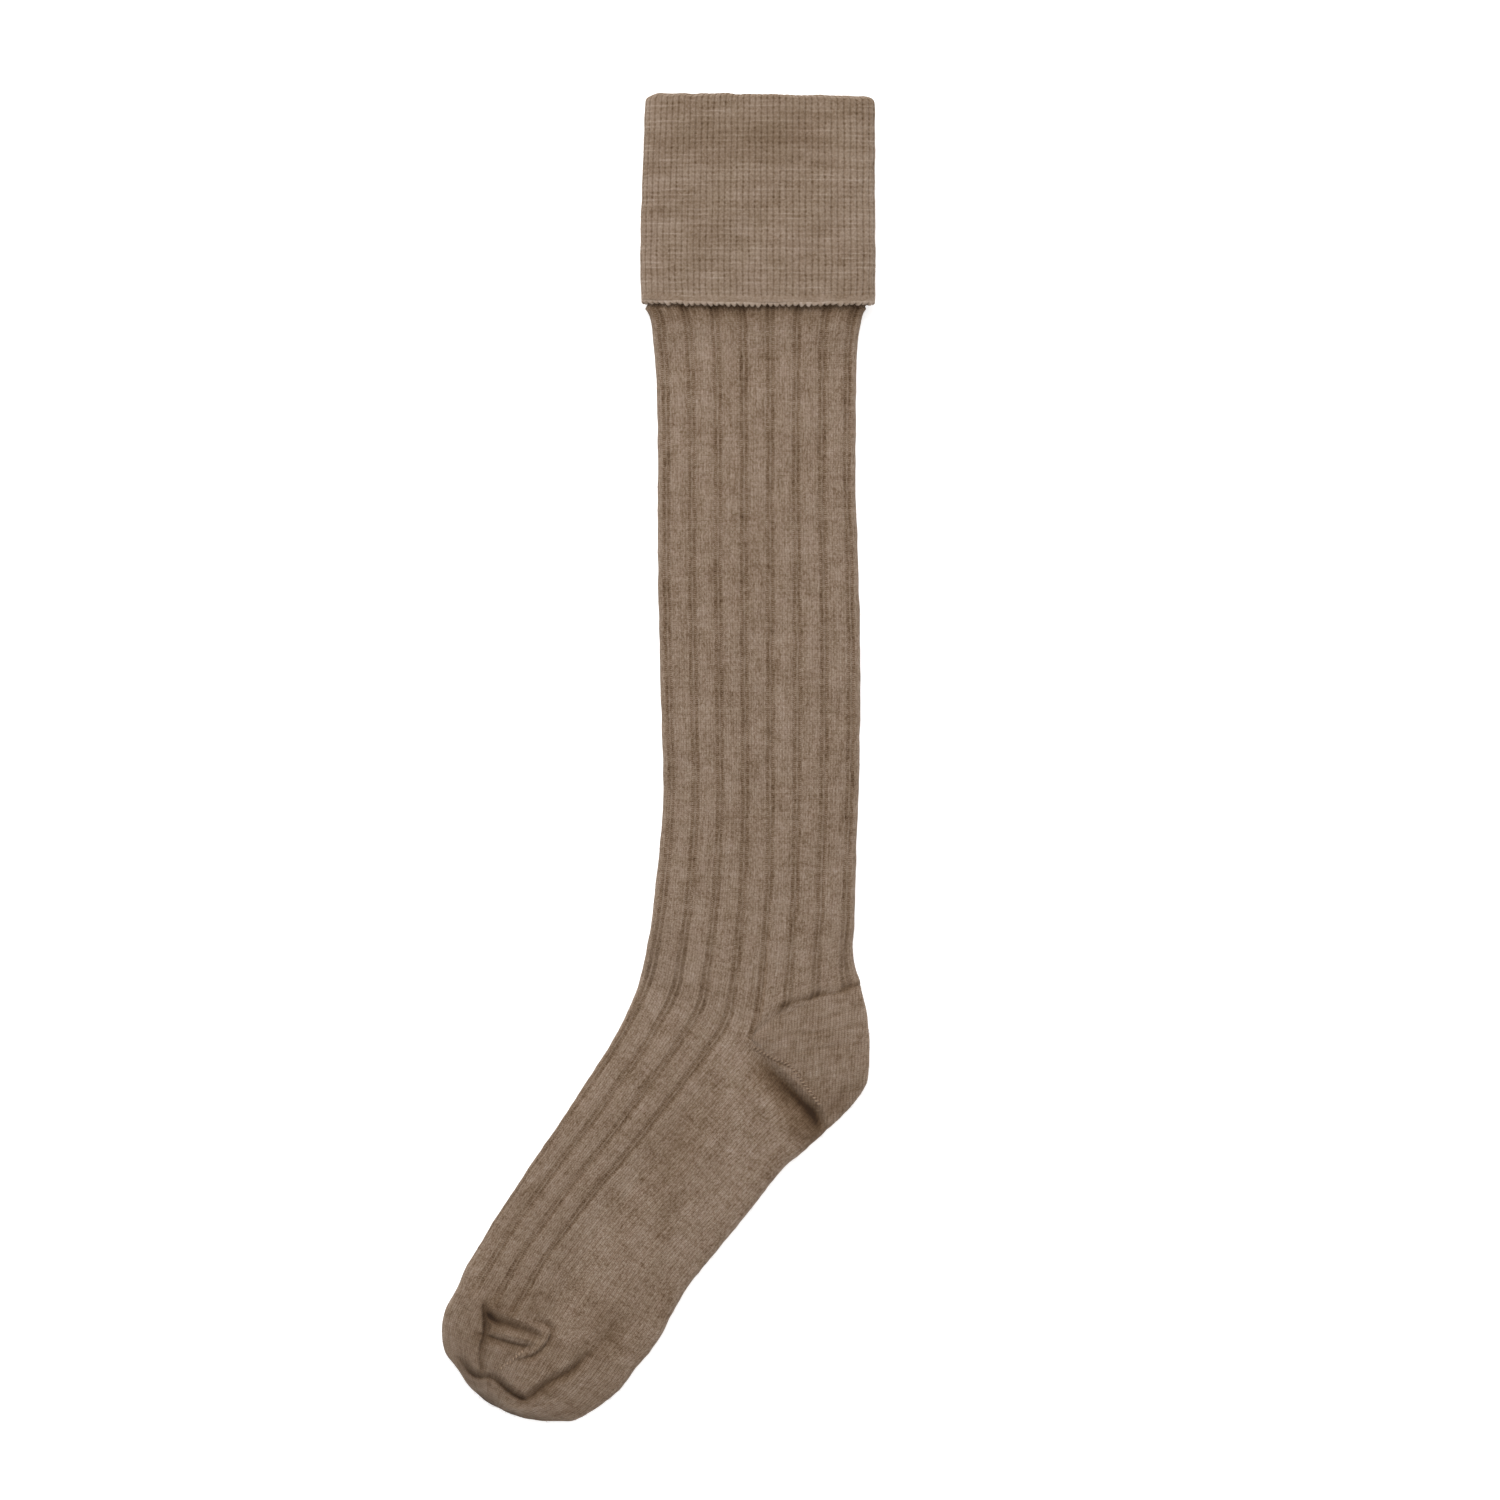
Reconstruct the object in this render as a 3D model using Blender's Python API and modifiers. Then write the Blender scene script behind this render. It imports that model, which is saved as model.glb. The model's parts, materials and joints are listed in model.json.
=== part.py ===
"""A knitted knee sock with a turned-down cuff, lying flat on its side.

Metres, +Z up. The leg runs along Y with the cuff at +Y, and the foot points to -X and -Y.
The origin is the middle of the sock's outline, at the height of the surface that it lies on.

Every piece is a wall of knitted cloth. Its outer skin is lofted through flattened sections and
Solidify gives it its thickness. A section has a side point, where the instep meets the sole on
each face, and two arms from there: one to the front edge (shin and instep) and one to the back
edge (calf, heel and sole). A loop of stitches round the sock is counted in wales, from the front
edge over the upper face to the back edge and home along the lower face.
"""

import math
from collections import namedtuple

import bpy
from mathutils import Vector

MM = 0.001

# Driving sizes
LEG_LENGTH = 445 * MM  # top fold to the side point of the heel
LEG_WIDTH = 94.5 * MM  # flat width of the leg tube
FOOT_LENGTH = 169 * MM  # side point of the heel to the toe line
FOOT_WIDTH = 94 * MM  # flat width across the instep and sole
HEEL_RADIUS = 56 * MM  # side point of the heel to the back edge
TOE_DEPTH = 43 * MM  # toe line to the tip
CUFF_DEPTH = 97.5 * MM  # top fold to the edge of the turned-down band
LOFT = 11.5 * MM  # outer height of the tube as it lies
EDGE_RADIUS = 3.6 * MM  # outer radius of the folds along the front and back edges
WALL = 1.5 * MM  # knitted cloth of the leg, heel, foot and toe
CUFF_WALL = 1.8 * MM  # the thicker rib of the cuff
CUFF_GAP = 0.5 * MM  # between the band and the leg under it
CUFF_LIP = 12 * MM  # how far the cuff's cloth runs back down inside the mouth
HEM_DEPTH = 2.4 * MM  # the finished edge under the band, with its seam
SETTLE = 24 * MM  # length over which the leg comes down to the surface below the cuff
RIB_DEPTH = 0.8 * MM  # how far a groove between two ribs sinks
SEAM_GAP = 0.3 * MM  # between pieces that meet edge to edge

# Stitch counts
RIBS = 16
WALES_PER_RIB = 10
FRONT_WALES = 45  # front edge to the side point, on each face
FIRST_GROOVE = 4.6  # wales from the front edge to the first groove
GROOVE_HALF = 1.5  # wales from a groove's middle to its shoulder
ROUND_WALES = RIBS * WALES_PER_RIB
FACE_WALES = ROUND_WALES / 2
BACK_WALES = FACE_WALES - FRONT_WALES

# Shape of the tube's upper face, and of the ends of a fold
CROWN_EXPONENT = 0.7  # below 1 the face rises fast from its edges and is nearly level between them
TOE_CROWN_EXPONENT = 4  # how late the toe's height falls off towards its tip
SHOULDER_SHARE = 0.125  # how far a groove's shoulder sinks, of the groove's depth
BOW_PEAK = 2.2  # brings the peak of a bowed arm's curve close to 1
FOLD_TAPER = 0.12  # share of the heel fold's length by which its taper is cut off at each end

# Mesh fineness
PLAIN_STEP = 5  # wales between points where the knit is plain
CUFF_POINTS = 48
ARC_STEPS = 5
FOLD_STEPS = 4
STATION_GAP = 8 * MM  # least distance between two of the leg's sections
CROWN_STEPS = 16

HEEL_START = 1.5 * MM  # the heel's inner corner, from its side point

# One section of the leg. along is a share of LEG_LENGTH from the top fold, heading is the way that
# the side line has come from the row above, in degrees from straight down towards the front.
# Each arm rises by its turn in degrees. Its width is a share of LEG_WIDTH, and loft of LOFT.
LegRow = namedtuple("LegRow", "along heading front_turn front back_turn back loft")
LEG_ROWS = (
    LegRow(0.000, 0.0, 0.0, 0.597, 0.0, 0.497, 0.96),
    LegRow(0.110, 0.0, 0.0, 0.609, 0.0, 0.488, 0.98),
    LegRow(0.216, 0.0, 0.0, 0.604, 0.0, 0.463, 1.00),
    LegRow(0.269, 0.0, 0.0, 0.577, 0.0, 0.433, 1.00),
    LegRow(0.333, 0.0, 0.0, 0.562, 0.0, 0.428, 1.00),
    LegRow(0.407, 0.0, 0.0, 0.560, 0.0, 0.425, 1.00),
    LegRow(0.492, 0.0, 0.0, 0.560, 0.0, 0.438, 1.00),
    LegRow(0.576, 0.0, 0.0, 0.552, 0.0, 0.448, 1.00),
    LegRow(0.661, 0.0, 0.0, 0.542, 0.0, 0.448, 1.00),
    LegRow(0.719, 0.0, 0.0, 0.532, 0.0, 0.443, 1.00),
    LegRow(0.778, 0.0, 0.0, 0.542, 0.0, 0.433, 1.00),
    LegRow(0.831, 1.1, 0.0, 0.565, 0.0, 0.430, 1.00),
    LegRow(0.873, 2.9, 0.0, 0.577, 0.0, 0.435, 1.00),
    LegRow(0.921, 3.8, 9.7, 0.591, 10.8, 0.451, 1.00),
    LegRow(0.961, 6.0, 20.3, 0.615, 20.1, 0.506, 1.00),
)

# The ankle line, where leg, heel and foot meet: its front arm is a share of LEG_WIDTH.
ANKLE_HEADING = 10.7
ANKLE_FRONT_TURN = 31.3
ANKLE_FRONT = 0.652
HEEL_TOP_BOW = 0.085  # how far the heel's top line bows up, as a share of HEEL_RADIUS

# One arm of the heel pocket, from the ankle line down to the fold: reach as a share of HEEL_RADIUS.
HeelRow = namedtuple("HeelRow", "turn reach bow loft")
HEEL_ROWS = (
    HeelRow(26.8, 1.024, 1.0, 1.00),
    HeelRow(19.0, 1.000, 0.6, 1.03),
    HeelRow(10.0, 0.988, 0.3, 1.05),
    HeelRow(-4.9, 0.985, 0.0, 1.06),
    HeelRow(-21.7, 1.020, 0.0, 1.05),
    HeelRow(-35.4, 0.999, 0.0, 1.03),
    HeelRow(-43.5, 0.988, 0.0, 1.01),
    HeelRow(-50.2, 0.984, 0.0, 1.00),
)

# One section of the foot after the ankle line: along is a share of FOOT_LENGTH, widths of FOOT_WIDTH.
FootRow = namedtuple("FootRow", "along heading front_turn front back_turn back loft")
FOOT_ROWS = (
    FootRow(0.095, 37.9, 37.3, 0.610, -45.7, 0.545, 1.00),
    FootRow(0.165, 38.5, 38.2, 0.580, -43.7, 0.522, 1.00),
    FootRow(0.231, 39.2, 39.1, 0.555, -41.8, 0.515, 1.00),
    FootRow(0.340, 38.4, 39.1, 0.535, -40.2, 0.515, 1.00),
    FootRow(0.457, 38.0, 39.1, 0.515, -38.7, 0.513, 1.00),
    FootRow(0.550, 40.3, 37.8, 0.497, -37.7, 0.515, 1.00),
    FootRow(0.650, 40.3, 36.5, 0.479, -36.8, 0.518, 1.00),
    FootRow(0.740, 35.6, 33.2, 0.472, -34.2, 0.531, 1.00),
    FootRow(0.831, 35.6, 29.9, 0.467, -31.5, 0.545, 1.00),
    FootRow(0.920, 25.3, 26.6, 0.473, -27.6, 0.521, 1.00),
    FootRow(1.000, 25.3, 23.4, 0.480, -23.7, 0.497, 1.00),
)

# The toe tapers to its tip as a superellipse, in these shares of TOE_DEPTH.
TOE_HEADING = 29.8
TOE_EXPONENT = 2.25
TOE_SHARES = (0.0, 0.14, 0.28, 0.42, 0.55, 0.67, 0.78, 0.87)
TIP_SHARES = (0.9, 0.45, 0.12)  # the last sections, by shares of EDGE_RADIUS from the tip

# How much wider the band stands than the leg and its own wall: along is a share of CUFF_DEPTH.
CuffRow = namedtuple("CuffRow", "along front back")
CUFF_ROWS = (
    CuffRow(0.00, 0.000, 0.000),
    CuffRow(0.25, 0.004, 0.005),
    CuffRow(0.50, 0.008, 0.010),
    CuffRow(0.75, 0.013, 0.022),
    CuffRow(1.00, 0.015, 0.035),
)

# Folds pressed into the upper face. Heel folds run along the pocket's lower arm, by shares of
# HEEL_RADIUS. Toe folds lie between two places on the toe: across is a share of the half width
# towards the back edge, and along of TOE_DEPTH towards the tip. Depth and half width are shares of
# LOFT.
HEEL_FOLD_START = 0.10
HEEL_FOLD_END = 0.94
HEEL_FOLD_DEPTH = 0.42
HEEL_FOLD_ON_FOOT = 1.25
HEEL_FOLD_ON_HEEL = 0.45
ToeFold = namedtuple("ToeFold", "name from_across from_along to_across to_along depth half_width")
TOE_FOLDS = (
    ToeFold("crease_down", -0.61, 0.02, -0.41, 0.69, 0.26, 0.42),
    ToeFold("crease_upper", -0.54, 0.12, 0.04, 0.03, 0.14, 0.26),
    ToeFold("crease_lower", -0.52, 0.27, -0.05, 0.19, 0.14, 0.24),
    ToeFold("pucker_side", 0.06, -0.10, 0.10, 0.09, 0.14, 0.26),
    ToeFold("pucker_under", 0.10, 0.09, -0.09, 0.37, 0.12, 0.26),
    ToeFold("tip_left", -0.59, 0.73, -0.32, 0.71, 0.20, 0.36),
    ToeFold("tip_middle", -0.32, 0.71, 0.16, 0.78, 0.28, 0.40),
    ToeFold("tip_right", 0.16, 0.78, 0.51, 0.23, 0.20, 0.48),
    ToeFold("tip_back", 0.51, 0.23, 0.66, -0.31, 0.10, 0.60),
)

KNIT_COLOUR = (0.250, 0.181, 0.130, 1.0)
PLAIN_COLOUR = (0.225, 0.160, 0.113, 1.0)
EDGE_COLOUR = (0.330, 0.245, 0.185, 1.0)
WOOL_ROUGHNESS = 0.95

Section = namedtuple("Section", "side front_turn front back_turn back bow lift loft edge")


def clear_scene():
    for obj in list(bpy.data.objects):
        bpy.data.objects.remove(obj)


def between(low, high, share):
    return low + (high - low) * share


def interpolate(rows, along, column):
    """The value of a column at a share that lies between two rows of a table."""
    for above, below in zip(rows, rows[1:]):
        if along <= below.along:
            share = (along - above.along) / (below.along - above.along)
            return between(getattr(above, column), getattr(below, column), max(share, 0.0))
    return getattr(rows[-1], column)


def step_down(heading, distance):
    """The move along the sock by a distance, in a heading from straight down towards the front."""
    turn = math.radians(heading)
    return Vector((-math.sin(turn), -math.cos(turn), 0.0)) * distance


def arm_direction(turn, sign):
    """The way an arm points: sign is -1 for the front arm and 1 for the back arm."""
    rise = math.radians(turn)
    return Vector((sign * math.cos(rise), math.sin(rise), 0.0))


def leg_side_point(along):
    """The side point of the leg at a share of LEG_LENGTH, from the middle of the top fold."""
    point = Vector((0.0, 0.0, 0.0))
    for above, below in zip(LEG_ROWS, LEG_ROWS[1:]):
        run = min(along, below.along) - above.along
        if run > 0:
            point += step_down(below.heading, run * LEG_LENGTH)
    if along > LEG_ROWS[-1].along:
        point += step_down(ANKLE_HEADING, (along - LEG_ROWS[-1].along) * LEG_LENGTH)
    return point


def leg_lift(distance):
    """How far the leg's underside is held up by the band that lies under it."""
    settled = (distance - CUFF_DEPTH - HEM_DEPTH) / SETTLE
    return (CUFF_WALL + CUFF_GAP) * (1.0 - min(max(settled, 0.0), 1.0))


def leg_section(distance):
    along = distance / LEG_LENGTH
    values = {name: interpolate(LEG_ROWS, along, name) for name in LegRow._fields[2:]}
    return Section(
        side=leg_side_point(along),
        front_turn=values["front_turn"],
        front=values["front"] * LEG_WIDTH,
        back_turn=values["back_turn"],
        back=values["back"] * LEG_WIDTH,
        bow=0.0,
        lift=leg_lift(distance),
        loft=values["loft"] * LOFT,
        edge=EDGE_RADIUS,
    )


def heel_section(row, side):
    """A section on the ankle line whose back arm is one arm of the heel."""
    return Section(
        side=side,
        front_turn=ANKLE_FRONT_TURN,
        front=ANKLE_FRONT * LEG_WIDTH,
        back_turn=row.turn,
        back=row.reach * HEEL_RADIUS,
        bow=row.bow * HEEL_TOP_BOW * HEEL_RADIUS,
        lift=0.0,
        loft=row.loft * LOFT,
        edge=EDGE_RADIUS,
    )


def foot_sections(ankle):
    """The foot's sections, from the ankle line to the toe line."""
    sections = [heel_section(HEEL_ROWS[-1], ankle)]
    side, along = ankle, 0.0
    for row in FOOT_ROWS:
        side = side + step_down(row.heading, (row.along - along) * FOOT_LENGTH)
        along = row.along
        sections.append(
            Section(
                side=side,
                front_turn=row.front_turn,
                front=row.front * FOOT_WIDTH,
                back_turn=row.back_turn,
                back=row.back * FOOT_WIDTH,
                bow=0.0,
                lift=0.0,
                loft=row.loft * LOFT,
                edge=EDGE_RADIUS,
            )
        )
    return sections


def toe_section(line, distance):
    """A section of the toe, at a distance from the toe line. Close to the tip it is a round edge."""
    share = distance / TOE_DEPTH
    width = (1.0 - share**TOE_EXPONENT) ** (1.0 / TOE_EXPONENT)
    crown = 1.0 - share**TOE_CROWN_EXPONENT
    height = 2 * EDGE_RADIUS + (line.loft - 2 * EDGE_RADIUS) * crown
    to_tip = min((TOE_DEPTH - distance) / EDGE_RADIUS, 1.0)
    height *= math.sqrt(1.0 - (1.0 - to_tip) ** 2)
    return line._replace(
        side=line.side + step_down(TOE_HEADING, distance),
        front=line.front * width,
        back=line.back * width,
        lift=EDGE_RADIUS * (1.0 - math.sqrt(1.0 - (1.0 - to_tip) ** 2)),
        loft=height,
    )


def shrunk(section, by):
    """The section moved in from its outline by a distance, or out where it is negative."""
    return section._replace(
        front=section.front - by,
        back=section.back - by,
        lift=section.lift + by,
        loft=section.loft - 2 * by,
        edge=section.edge - by,
    )


def moved(section, way):
    return section._replace(side=section.side + way)


def face_curve(section, upper):
    """Points (across, height) of one face, from the front edge to the back edge."""
    radius = min(section.edge, section.loft / 2, section.front, section.back)
    middle = section.lift + radius
    sign = 1.0 if upper else -1.0
    rise = section.loft - 2 * radius if upper else 0.0
    flat = section.front + section.back - 2 * radius
    curve = []
    for i in range(ARC_STEPS):
        angle = math.radians(90.0 * i / ARC_STEPS)
        across = -section.front + radius * (1.0 - math.cos(angle))
        curve.append((across, middle + sign * radius * math.sin(angle)))
    for i in range(CROWN_STEPS + 1):
        share = i / CROWN_STEPS
        crown = math.sin(math.pi * share) ** CROWN_EXPONENT
        across = -section.front + radius + flat * share
        curve.append((across, middle + sign * radius + rise * crown))
    for i in range(ARC_STEPS - 1, -1, -1):
        angle = math.radians(90.0 * i / ARC_STEPS)
        across = section.back - radius * (1.0 - math.cos(angle))
        curve.append((across, middle + sign * radius * math.sin(angle)))
    return curve


def lengths_along(curve):
    lengths = [0.0]
    for (x0, z0), (x1, z1) in zip(curve, curve[1:]):
        lengths.append(lengths[-1] + math.hypot(x1 - x0, z1 - z0))
    return lengths


def at_length(curve, lengths, wanted):
    """The place (across, height) at a length along a curve, and the direction there."""
    for i in range(1, len(lengths)):
        if wanted <= lengths[i] or i == len(lengths) - 1:
            span = lengths[i] - lengths[i - 1]
            share = (wanted - lengths[i - 1]) / span
            (x0, z0), (x1, z1) = curve[i - 1], curve[i]
            place = (between(x0, x1, share), between(z0, z1, share))
            return place, ((x1 - x0) / span, (z1 - z0) / span)
    raise ValueError("the curve has no length")


def length_at_side(curve, lengths):
    """The length from the front edge to the side point, where across is 0."""
    for i in range(1, len(curve)):
        if curve[i][0] >= 0.0:
            share = -curve[i - 1][0] / (curve[i][0] - curve[i - 1][0])
            return between(lengths[i - 1], lengths[i], share)
    raise ValueError("the section has no back arm")


def bow_at(section, share):
    """How far an arm bows up at a share of its length. It rises steeply from the side point."""
    return section.bow * BOW_PEAK * math.sqrt(share) * (1.0 - share)


def skin_point(section, wale, sink):
    """The point of a section's skin at a wale, sunk into it by a depth."""
    wale %= ROUND_WALES
    upper = wale <= FACE_WALES
    on_face = wale if upper else ROUND_WALES - wale
    curve = face_curve(section, upper)
    lengths = lengths_along(curve)
    side_length = length_at_side(curve, lengths)
    if on_face <= FRONT_WALES:
        wanted = side_length * on_face / FRONT_WALES
    else:
        wanted = between(side_length, lengths[-1], (on_face - FRONT_WALES) / BACK_WALES)
    (across, height), (run, rise) = at_length(curve, lengths, wanted)
    inward = 1.0 if upper else -1.0
    across += inward * rise * sink
    height -= inward * run * sink
    if across < 0.0:
        return section.side + arm_direction(section.front_turn, -1) * -across + Vector((0, 0, height))
    arm = arm_direction(section.back_turn, 1)
    up = Vector((-arm.y, arm.x, 0.0))
    bow = bow_at(section, min(across / section.back, 1.0))
    return section.side + arm * across + up * bow + Vector((0, 0, height))


def distance_to_segment(point, start, end):
    """How far a point lies from a segment seen from above, its share along it, and its side."""
    line = (end - start).to_2d()
    offset = (point - start).to_2d()
    share = min(max(offset.dot(line) / line.dot(line), 0.0), 1.0)
    side = line.x * offset.y - line.y * offset.x
    return (offset - line * share).length, share, side


def fold_profile(distance, half_width):
    """A fold's depth, from 1 in its line to 0 at its half width."""
    share = min(distance / half_width, 1.0)
    return (1.0 - share * share) ** 2


def heel_fold(point, ankle):
    """The deep fold under the heel pocket, wide on the foot and steep on the heel."""
    row = HEEL_ROWS[-1]
    arm = arm_direction(row.turn, 1) * row.reach * HEEL_RADIUS
    start = ankle + arm * HEEL_FOLD_START
    end = ankle + arm * HEEL_FOLD_END
    distance, share, side = distance_to_segment(point, start, end)
    width = HEEL_FOLD_ON_HEEL if side > 0 else HEEL_FOLD_ON_FOOT
    taper = math.sin(math.pi * between(FOLD_TAPER, 1.0 - FOLD_TAPER, share))
    return HEEL_FOLD_DEPTH * LOFT * taper * fold_profile(distance, width * LOFT)


def toe_folds(point, line):
    """The deepest of the toe's folds at a point."""
    across = arm_direction(line.back_turn, 1)
    down = step_down(-line.back_turn, 1.0)
    half = (line.front + line.back) / 2
    middle = line.side + across * (line.back - line.front) / 2
    deepest = 0.0
    for fold in TOE_FOLDS:
        start = middle + across * fold.from_across * half + down * fold.from_along * TOE_DEPTH
        end = middle + across * fold.to_across * half + down * fold.to_along * TOE_DEPTH
        distance, _, _ = distance_to_segment(point, start, end)
        depth = fold.depth * LOFT * fold_profile(distance, fold.half_width * LOFT)
        deepest = max(deepest, depth)
    return deepest


def folded(point, upper, ankle, line):
    """The point pressed down by the folds of the upper face."""
    if not upper:
        return point
    return point - Vector((0, 0, max(heel_fold(point, ankle), toe_folds(point, line))))


def ribbed_wales(first, last):
    """(wale, sink) round the ribs between two wales: groove, shoulder, crown and shoulder."""
    half = WALES_PER_RIB / 2
    places = []
    for rib in range(-RIBS, RIBS + 1):
        groove = FIRST_GROOVE + rib * WALES_PER_RIB
        places += [
            (groove, RIB_DEPTH),
            (groove + GROOVE_HALF, RIB_DEPTH * SHOULDER_SHARE),
            (groove + half, 0.0),
            (groove + WALES_PER_RIB - GROOVE_HALF, RIB_DEPTH * SHOULDER_SHARE),
        ]
    return [(wale, sink) for wale, sink in places if first <= wale < last]


def plain_wales(first, last):
    """(wale, sink) over plain knit, evenly from the first wale to the last, ends included."""
    steps = math.ceil((last - first) / PLAIN_STEP)
    return [(between(first, last, i / steps), 0.0) for i in range(steps + 1)]


def leg_wales():
    return ribbed_wales(0.0, ROUND_WALES)


def foot_wales():
    """Ribs over the instep, plain knit under the sole."""
    instep = ribbed_wales(-FRONT_WALES + 2, FRONT_WALES - 2)
    sole = plain_wales(FRONT_WALES, ROUND_WALES - FRONT_WALES)
    return sole + [(wale + ROUND_WALES, sink) for wale, sink in instep]


def skin_rows(sections, wales, ankle, line):
    """A row of points for each section. A groove isn't sunk where the cloth lies on the surface."""
    rows = []
    for section in sections:
        row = []
        for wale, sink in wales:
            upper = wale % ROUND_WALES <= FACE_WALES
            shoulder = sink < RIB_DEPTH and not upper
            point = skin_point(section, wale, 0.0 if shoulder else sink)
            row.append(folded(point, upper, ankle, line))
        rows.append(row)
    return rows


def loft_faces(rows, closed, capped):
    """The faces between neighbouring rows, round the loop if closed, with the last row capped."""
    count = len(rows[0])
    faces = []
    for r in range(len(rows) - 1):
        for c in range(count if closed else count - 1):
            after = (c + 1) % count
            faces.append((r * count + c, (r + 1) * count + c, (r + 1) * count + after, r * count + after))
    if capped:
        start = (len(rows) - 1) * count
        faces.append(tuple(range(start + count - 1, start - 1, -1)))
    return faces


def knit_material(name, colour):
    material = bpy.data.materials.new(name)
    material.use_nodes = True
    shader = material.node_tree.nodes["Principled BSDF"]
    shader.inputs["Base Color"].default_value = colour
    shader.inputs["Roughness"].default_value = WOOL_ROUGHNESS
    shader.inputs["Metallic"].default_value = 0.0
    return material


def cloth(name, rows, wall, material, closed=True, capped=False):
    """One piece: its skin through the rows, thickened inwards."""
    mesh = bpy.data.meshes.new(name)
    points = [point for row in rows for point in row]
    mesh.from_pydata(points, [], loft_faces(rows, closed, capped))
    mesh.shade_smooth()
    mesh.materials.append(material)
    piece = bpy.data.objects.new(name, mesh)
    thickness = piece.modifiers.new("wall", "SOLIDIFY")
    thickness.thickness = wall
    thickness.offset = -1.0
    thickness.use_even_offset = True
    return piece


def leg_stations():
    """Distances from the top fold to the leg's sections, down to its last table row."""
    table = [row.along * LEG_LENGTH for row in LEG_ROWS]
    start = CUFF_LIP + SEAM_GAP
    hem = CUFF_DEPTH + HEM_DEPTH
    stations = [start, hem, hem + SETTLE / 2, hem + SETTLE]
    for distance in table:
        if distance > start and all(abs(distance - other) > STATION_GAP for other in stations):
            stations.append(distance)
    return sorted(stations)


def leg_rows(ankle, line):
    sections = [leg_section(distance) for distance in leg_stations()]
    sections.append(heel_section(HEEL_ROWS[0], ankle + Vector((0, SEAM_GAP, 0))))
    return skin_rows(sections, leg_wales(), ankle, line)


def heel_rows(ankle, line):
    """The pocket, one row for each arm, from the side point of one face round to the other."""
    rows = []
    for index, row in enumerate(HEEL_ROWS):
        section = heel_section(row, ankle)
        if index == 0:
            section = moved(section, Vector((0, -SEAM_GAP / 2, 0)))
        if index == len(HEEL_ROWS) - 1:
            section = moved(section, Vector((SEAM_GAP / 2, SEAM_GAP / 2, 0)))
        first = FRONT_WALES + BACK_WALES * HEEL_START / section.back
        wales = plain_wales(first, ROUND_WALES - first)
        rows += skin_rows([section], wales, ankle, line)
    return rows


def foot_rows(ankle, line):
    sections = foot_sections(ankle)
    sections[0] = moved(sections[0], Vector((-SEAM_GAP / 2, -SEAM_GAP / 2, 0)))
    return skin_rows(sections, foot_wales(), ankle, line)


def toe_rows(ankle, line):
    """The toe, from just past the toe line to the round edge of its tip."""
    distances = [SEAM_GAP + share * (TOE_DEPTH - SEAM_GAP) for share in TOE_SHARES]
    distances += [TOE_DEPTH - EDGE_RADIUS * share for share in TIP_SHARES]
    sections = [toe_section(line, distance) for distance in sorted(distances)]
    wales = plain_wales(0.0, ROUND_WALES)[:-1]
    return skin_rows(sections, wales, ankle, line)


def band_section(distance):
    """The outer skin of the turned-down band at a distance below the top fold."""
    share = min(distance / CUFF_DEPTH, 1.0)
    leg = leg_section(min(distance, CUFF_DEPTH))
    band = shrunk(leg, -(CUFF_WALL + CUFF_GAP))
    side = leg.side + step_down(0.0, max(distance - CUFF_DEPTH, 0.0))
    return band._replace(
        side=side,
        front=band.front + interpolate(CUFF_ROWS, share, "front") * LEG_WIDTH,
        back=band.back + interpolate(CUFF_ROWS, share, "back") * LEG_WIDTH,
        lift=0.0,
    )


def cuff_wales():
    return [(ROUND_WALES * i / CUFF_POINTS, 0.0) for i in range(CUFF_POINTS)]


def cuff_rows(ankle, line):
    """The band from its lower end up, over the top fold and down inside the mouth."""
    fold_radius = CUFF_WALL + CUFF_GAP / 2
    sections = [band_section(row.along * CUFF_DEPTH) for row in reversed(CUFF_ROWS[1:])]
    top = band_section(0.0)
    for i in range(FOLD_STEPS + 1):
        angle = math.pi * i / FOLD_STEPS
        inset = fold_radius * (1.0 - math.cos(angle))
        drop = fold_radius * (1.0 - math.sin(angle))
        sections.append(moved(shrunk(top, inset), step_down(0.0, drop)))
    inner = leg_section(CUFF_LIP)
    lip = shrunk(band_section(CUFF_LIP), 2 * fold_radius)
    lip = lip._replace(front=inner.front - CUFF_WALL, back=inner.back - CUFF_WALL)
    sections.append(lip)
    # The rows run upwards and a skin is lofted downwards, so they are turned about.
    return skin_rows(sections, cuff_wales()[::-1], ankle, line)


def hem_rows(ankle, line):
    sections = [band_section(CUFF_DEPTH + SEAM_GAP), band_section(CUFF_DEPTH + HEM_DEPTH)]
    return skin_rows(sections, cuff_wales(), ankle, line)


def outline_centre(pieces):
    """The middle, seen from above, of the box round all skins."""
    points = [vertex.co for piece in pieces for vertex in piece.data.vertices]
    low = Vector((min(p.x for p in points), min(p.y for p in points), 0.0))
    high = Vector((max(p.x for p in points), max(p.y for p in points), 0.0))
    return (low + high) / 2


def build():
    clear_scene()
    ankle = leg_side_point(1.0)
    line = foot_sections(ankle)[-1]
    ribbed = knit_material("ribbed_knit", KNIT_COLOUR)
    plain = knit_material("plain_knit", PLAIN_COLOUR)
    cuff_rib = knit_material("cuff_knit", KNIT_COLOUR)
    finished = knit_material("edge_knit", EDGE_COLOUR)
    pieces = [
        cloth("cuff", cuff_rows(ankle, line), CUFF_WALL, cuff_rib),
        cloth("hem", hem_rows(ankle, line), CUFF_WALL, finished),
        cloth("leg", leg_rows(ankle, line), WALL, ribbed),
        cloth("heel", heel_rows(ankle, line), WALL, plain, closed=False),
        cloth("foot", foot_rows(ankle, line), WALL, ribbed),
        cloth("toe", toe_rows(ankle, line), WALL, plain, capped=True),
    ]
    collection = bpy.data.collections.new("knee_sock")
    bpy.context.scene.collection.children.link(collection)
    sock = bpy.data.objects.new("sock", None)
    sock.location = -outline_centre(pieces)
    collection.objects.link(sock)
    for piece in pieces:
        piece.parent = sock
        collection.objects.link(piece)


build()
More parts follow.
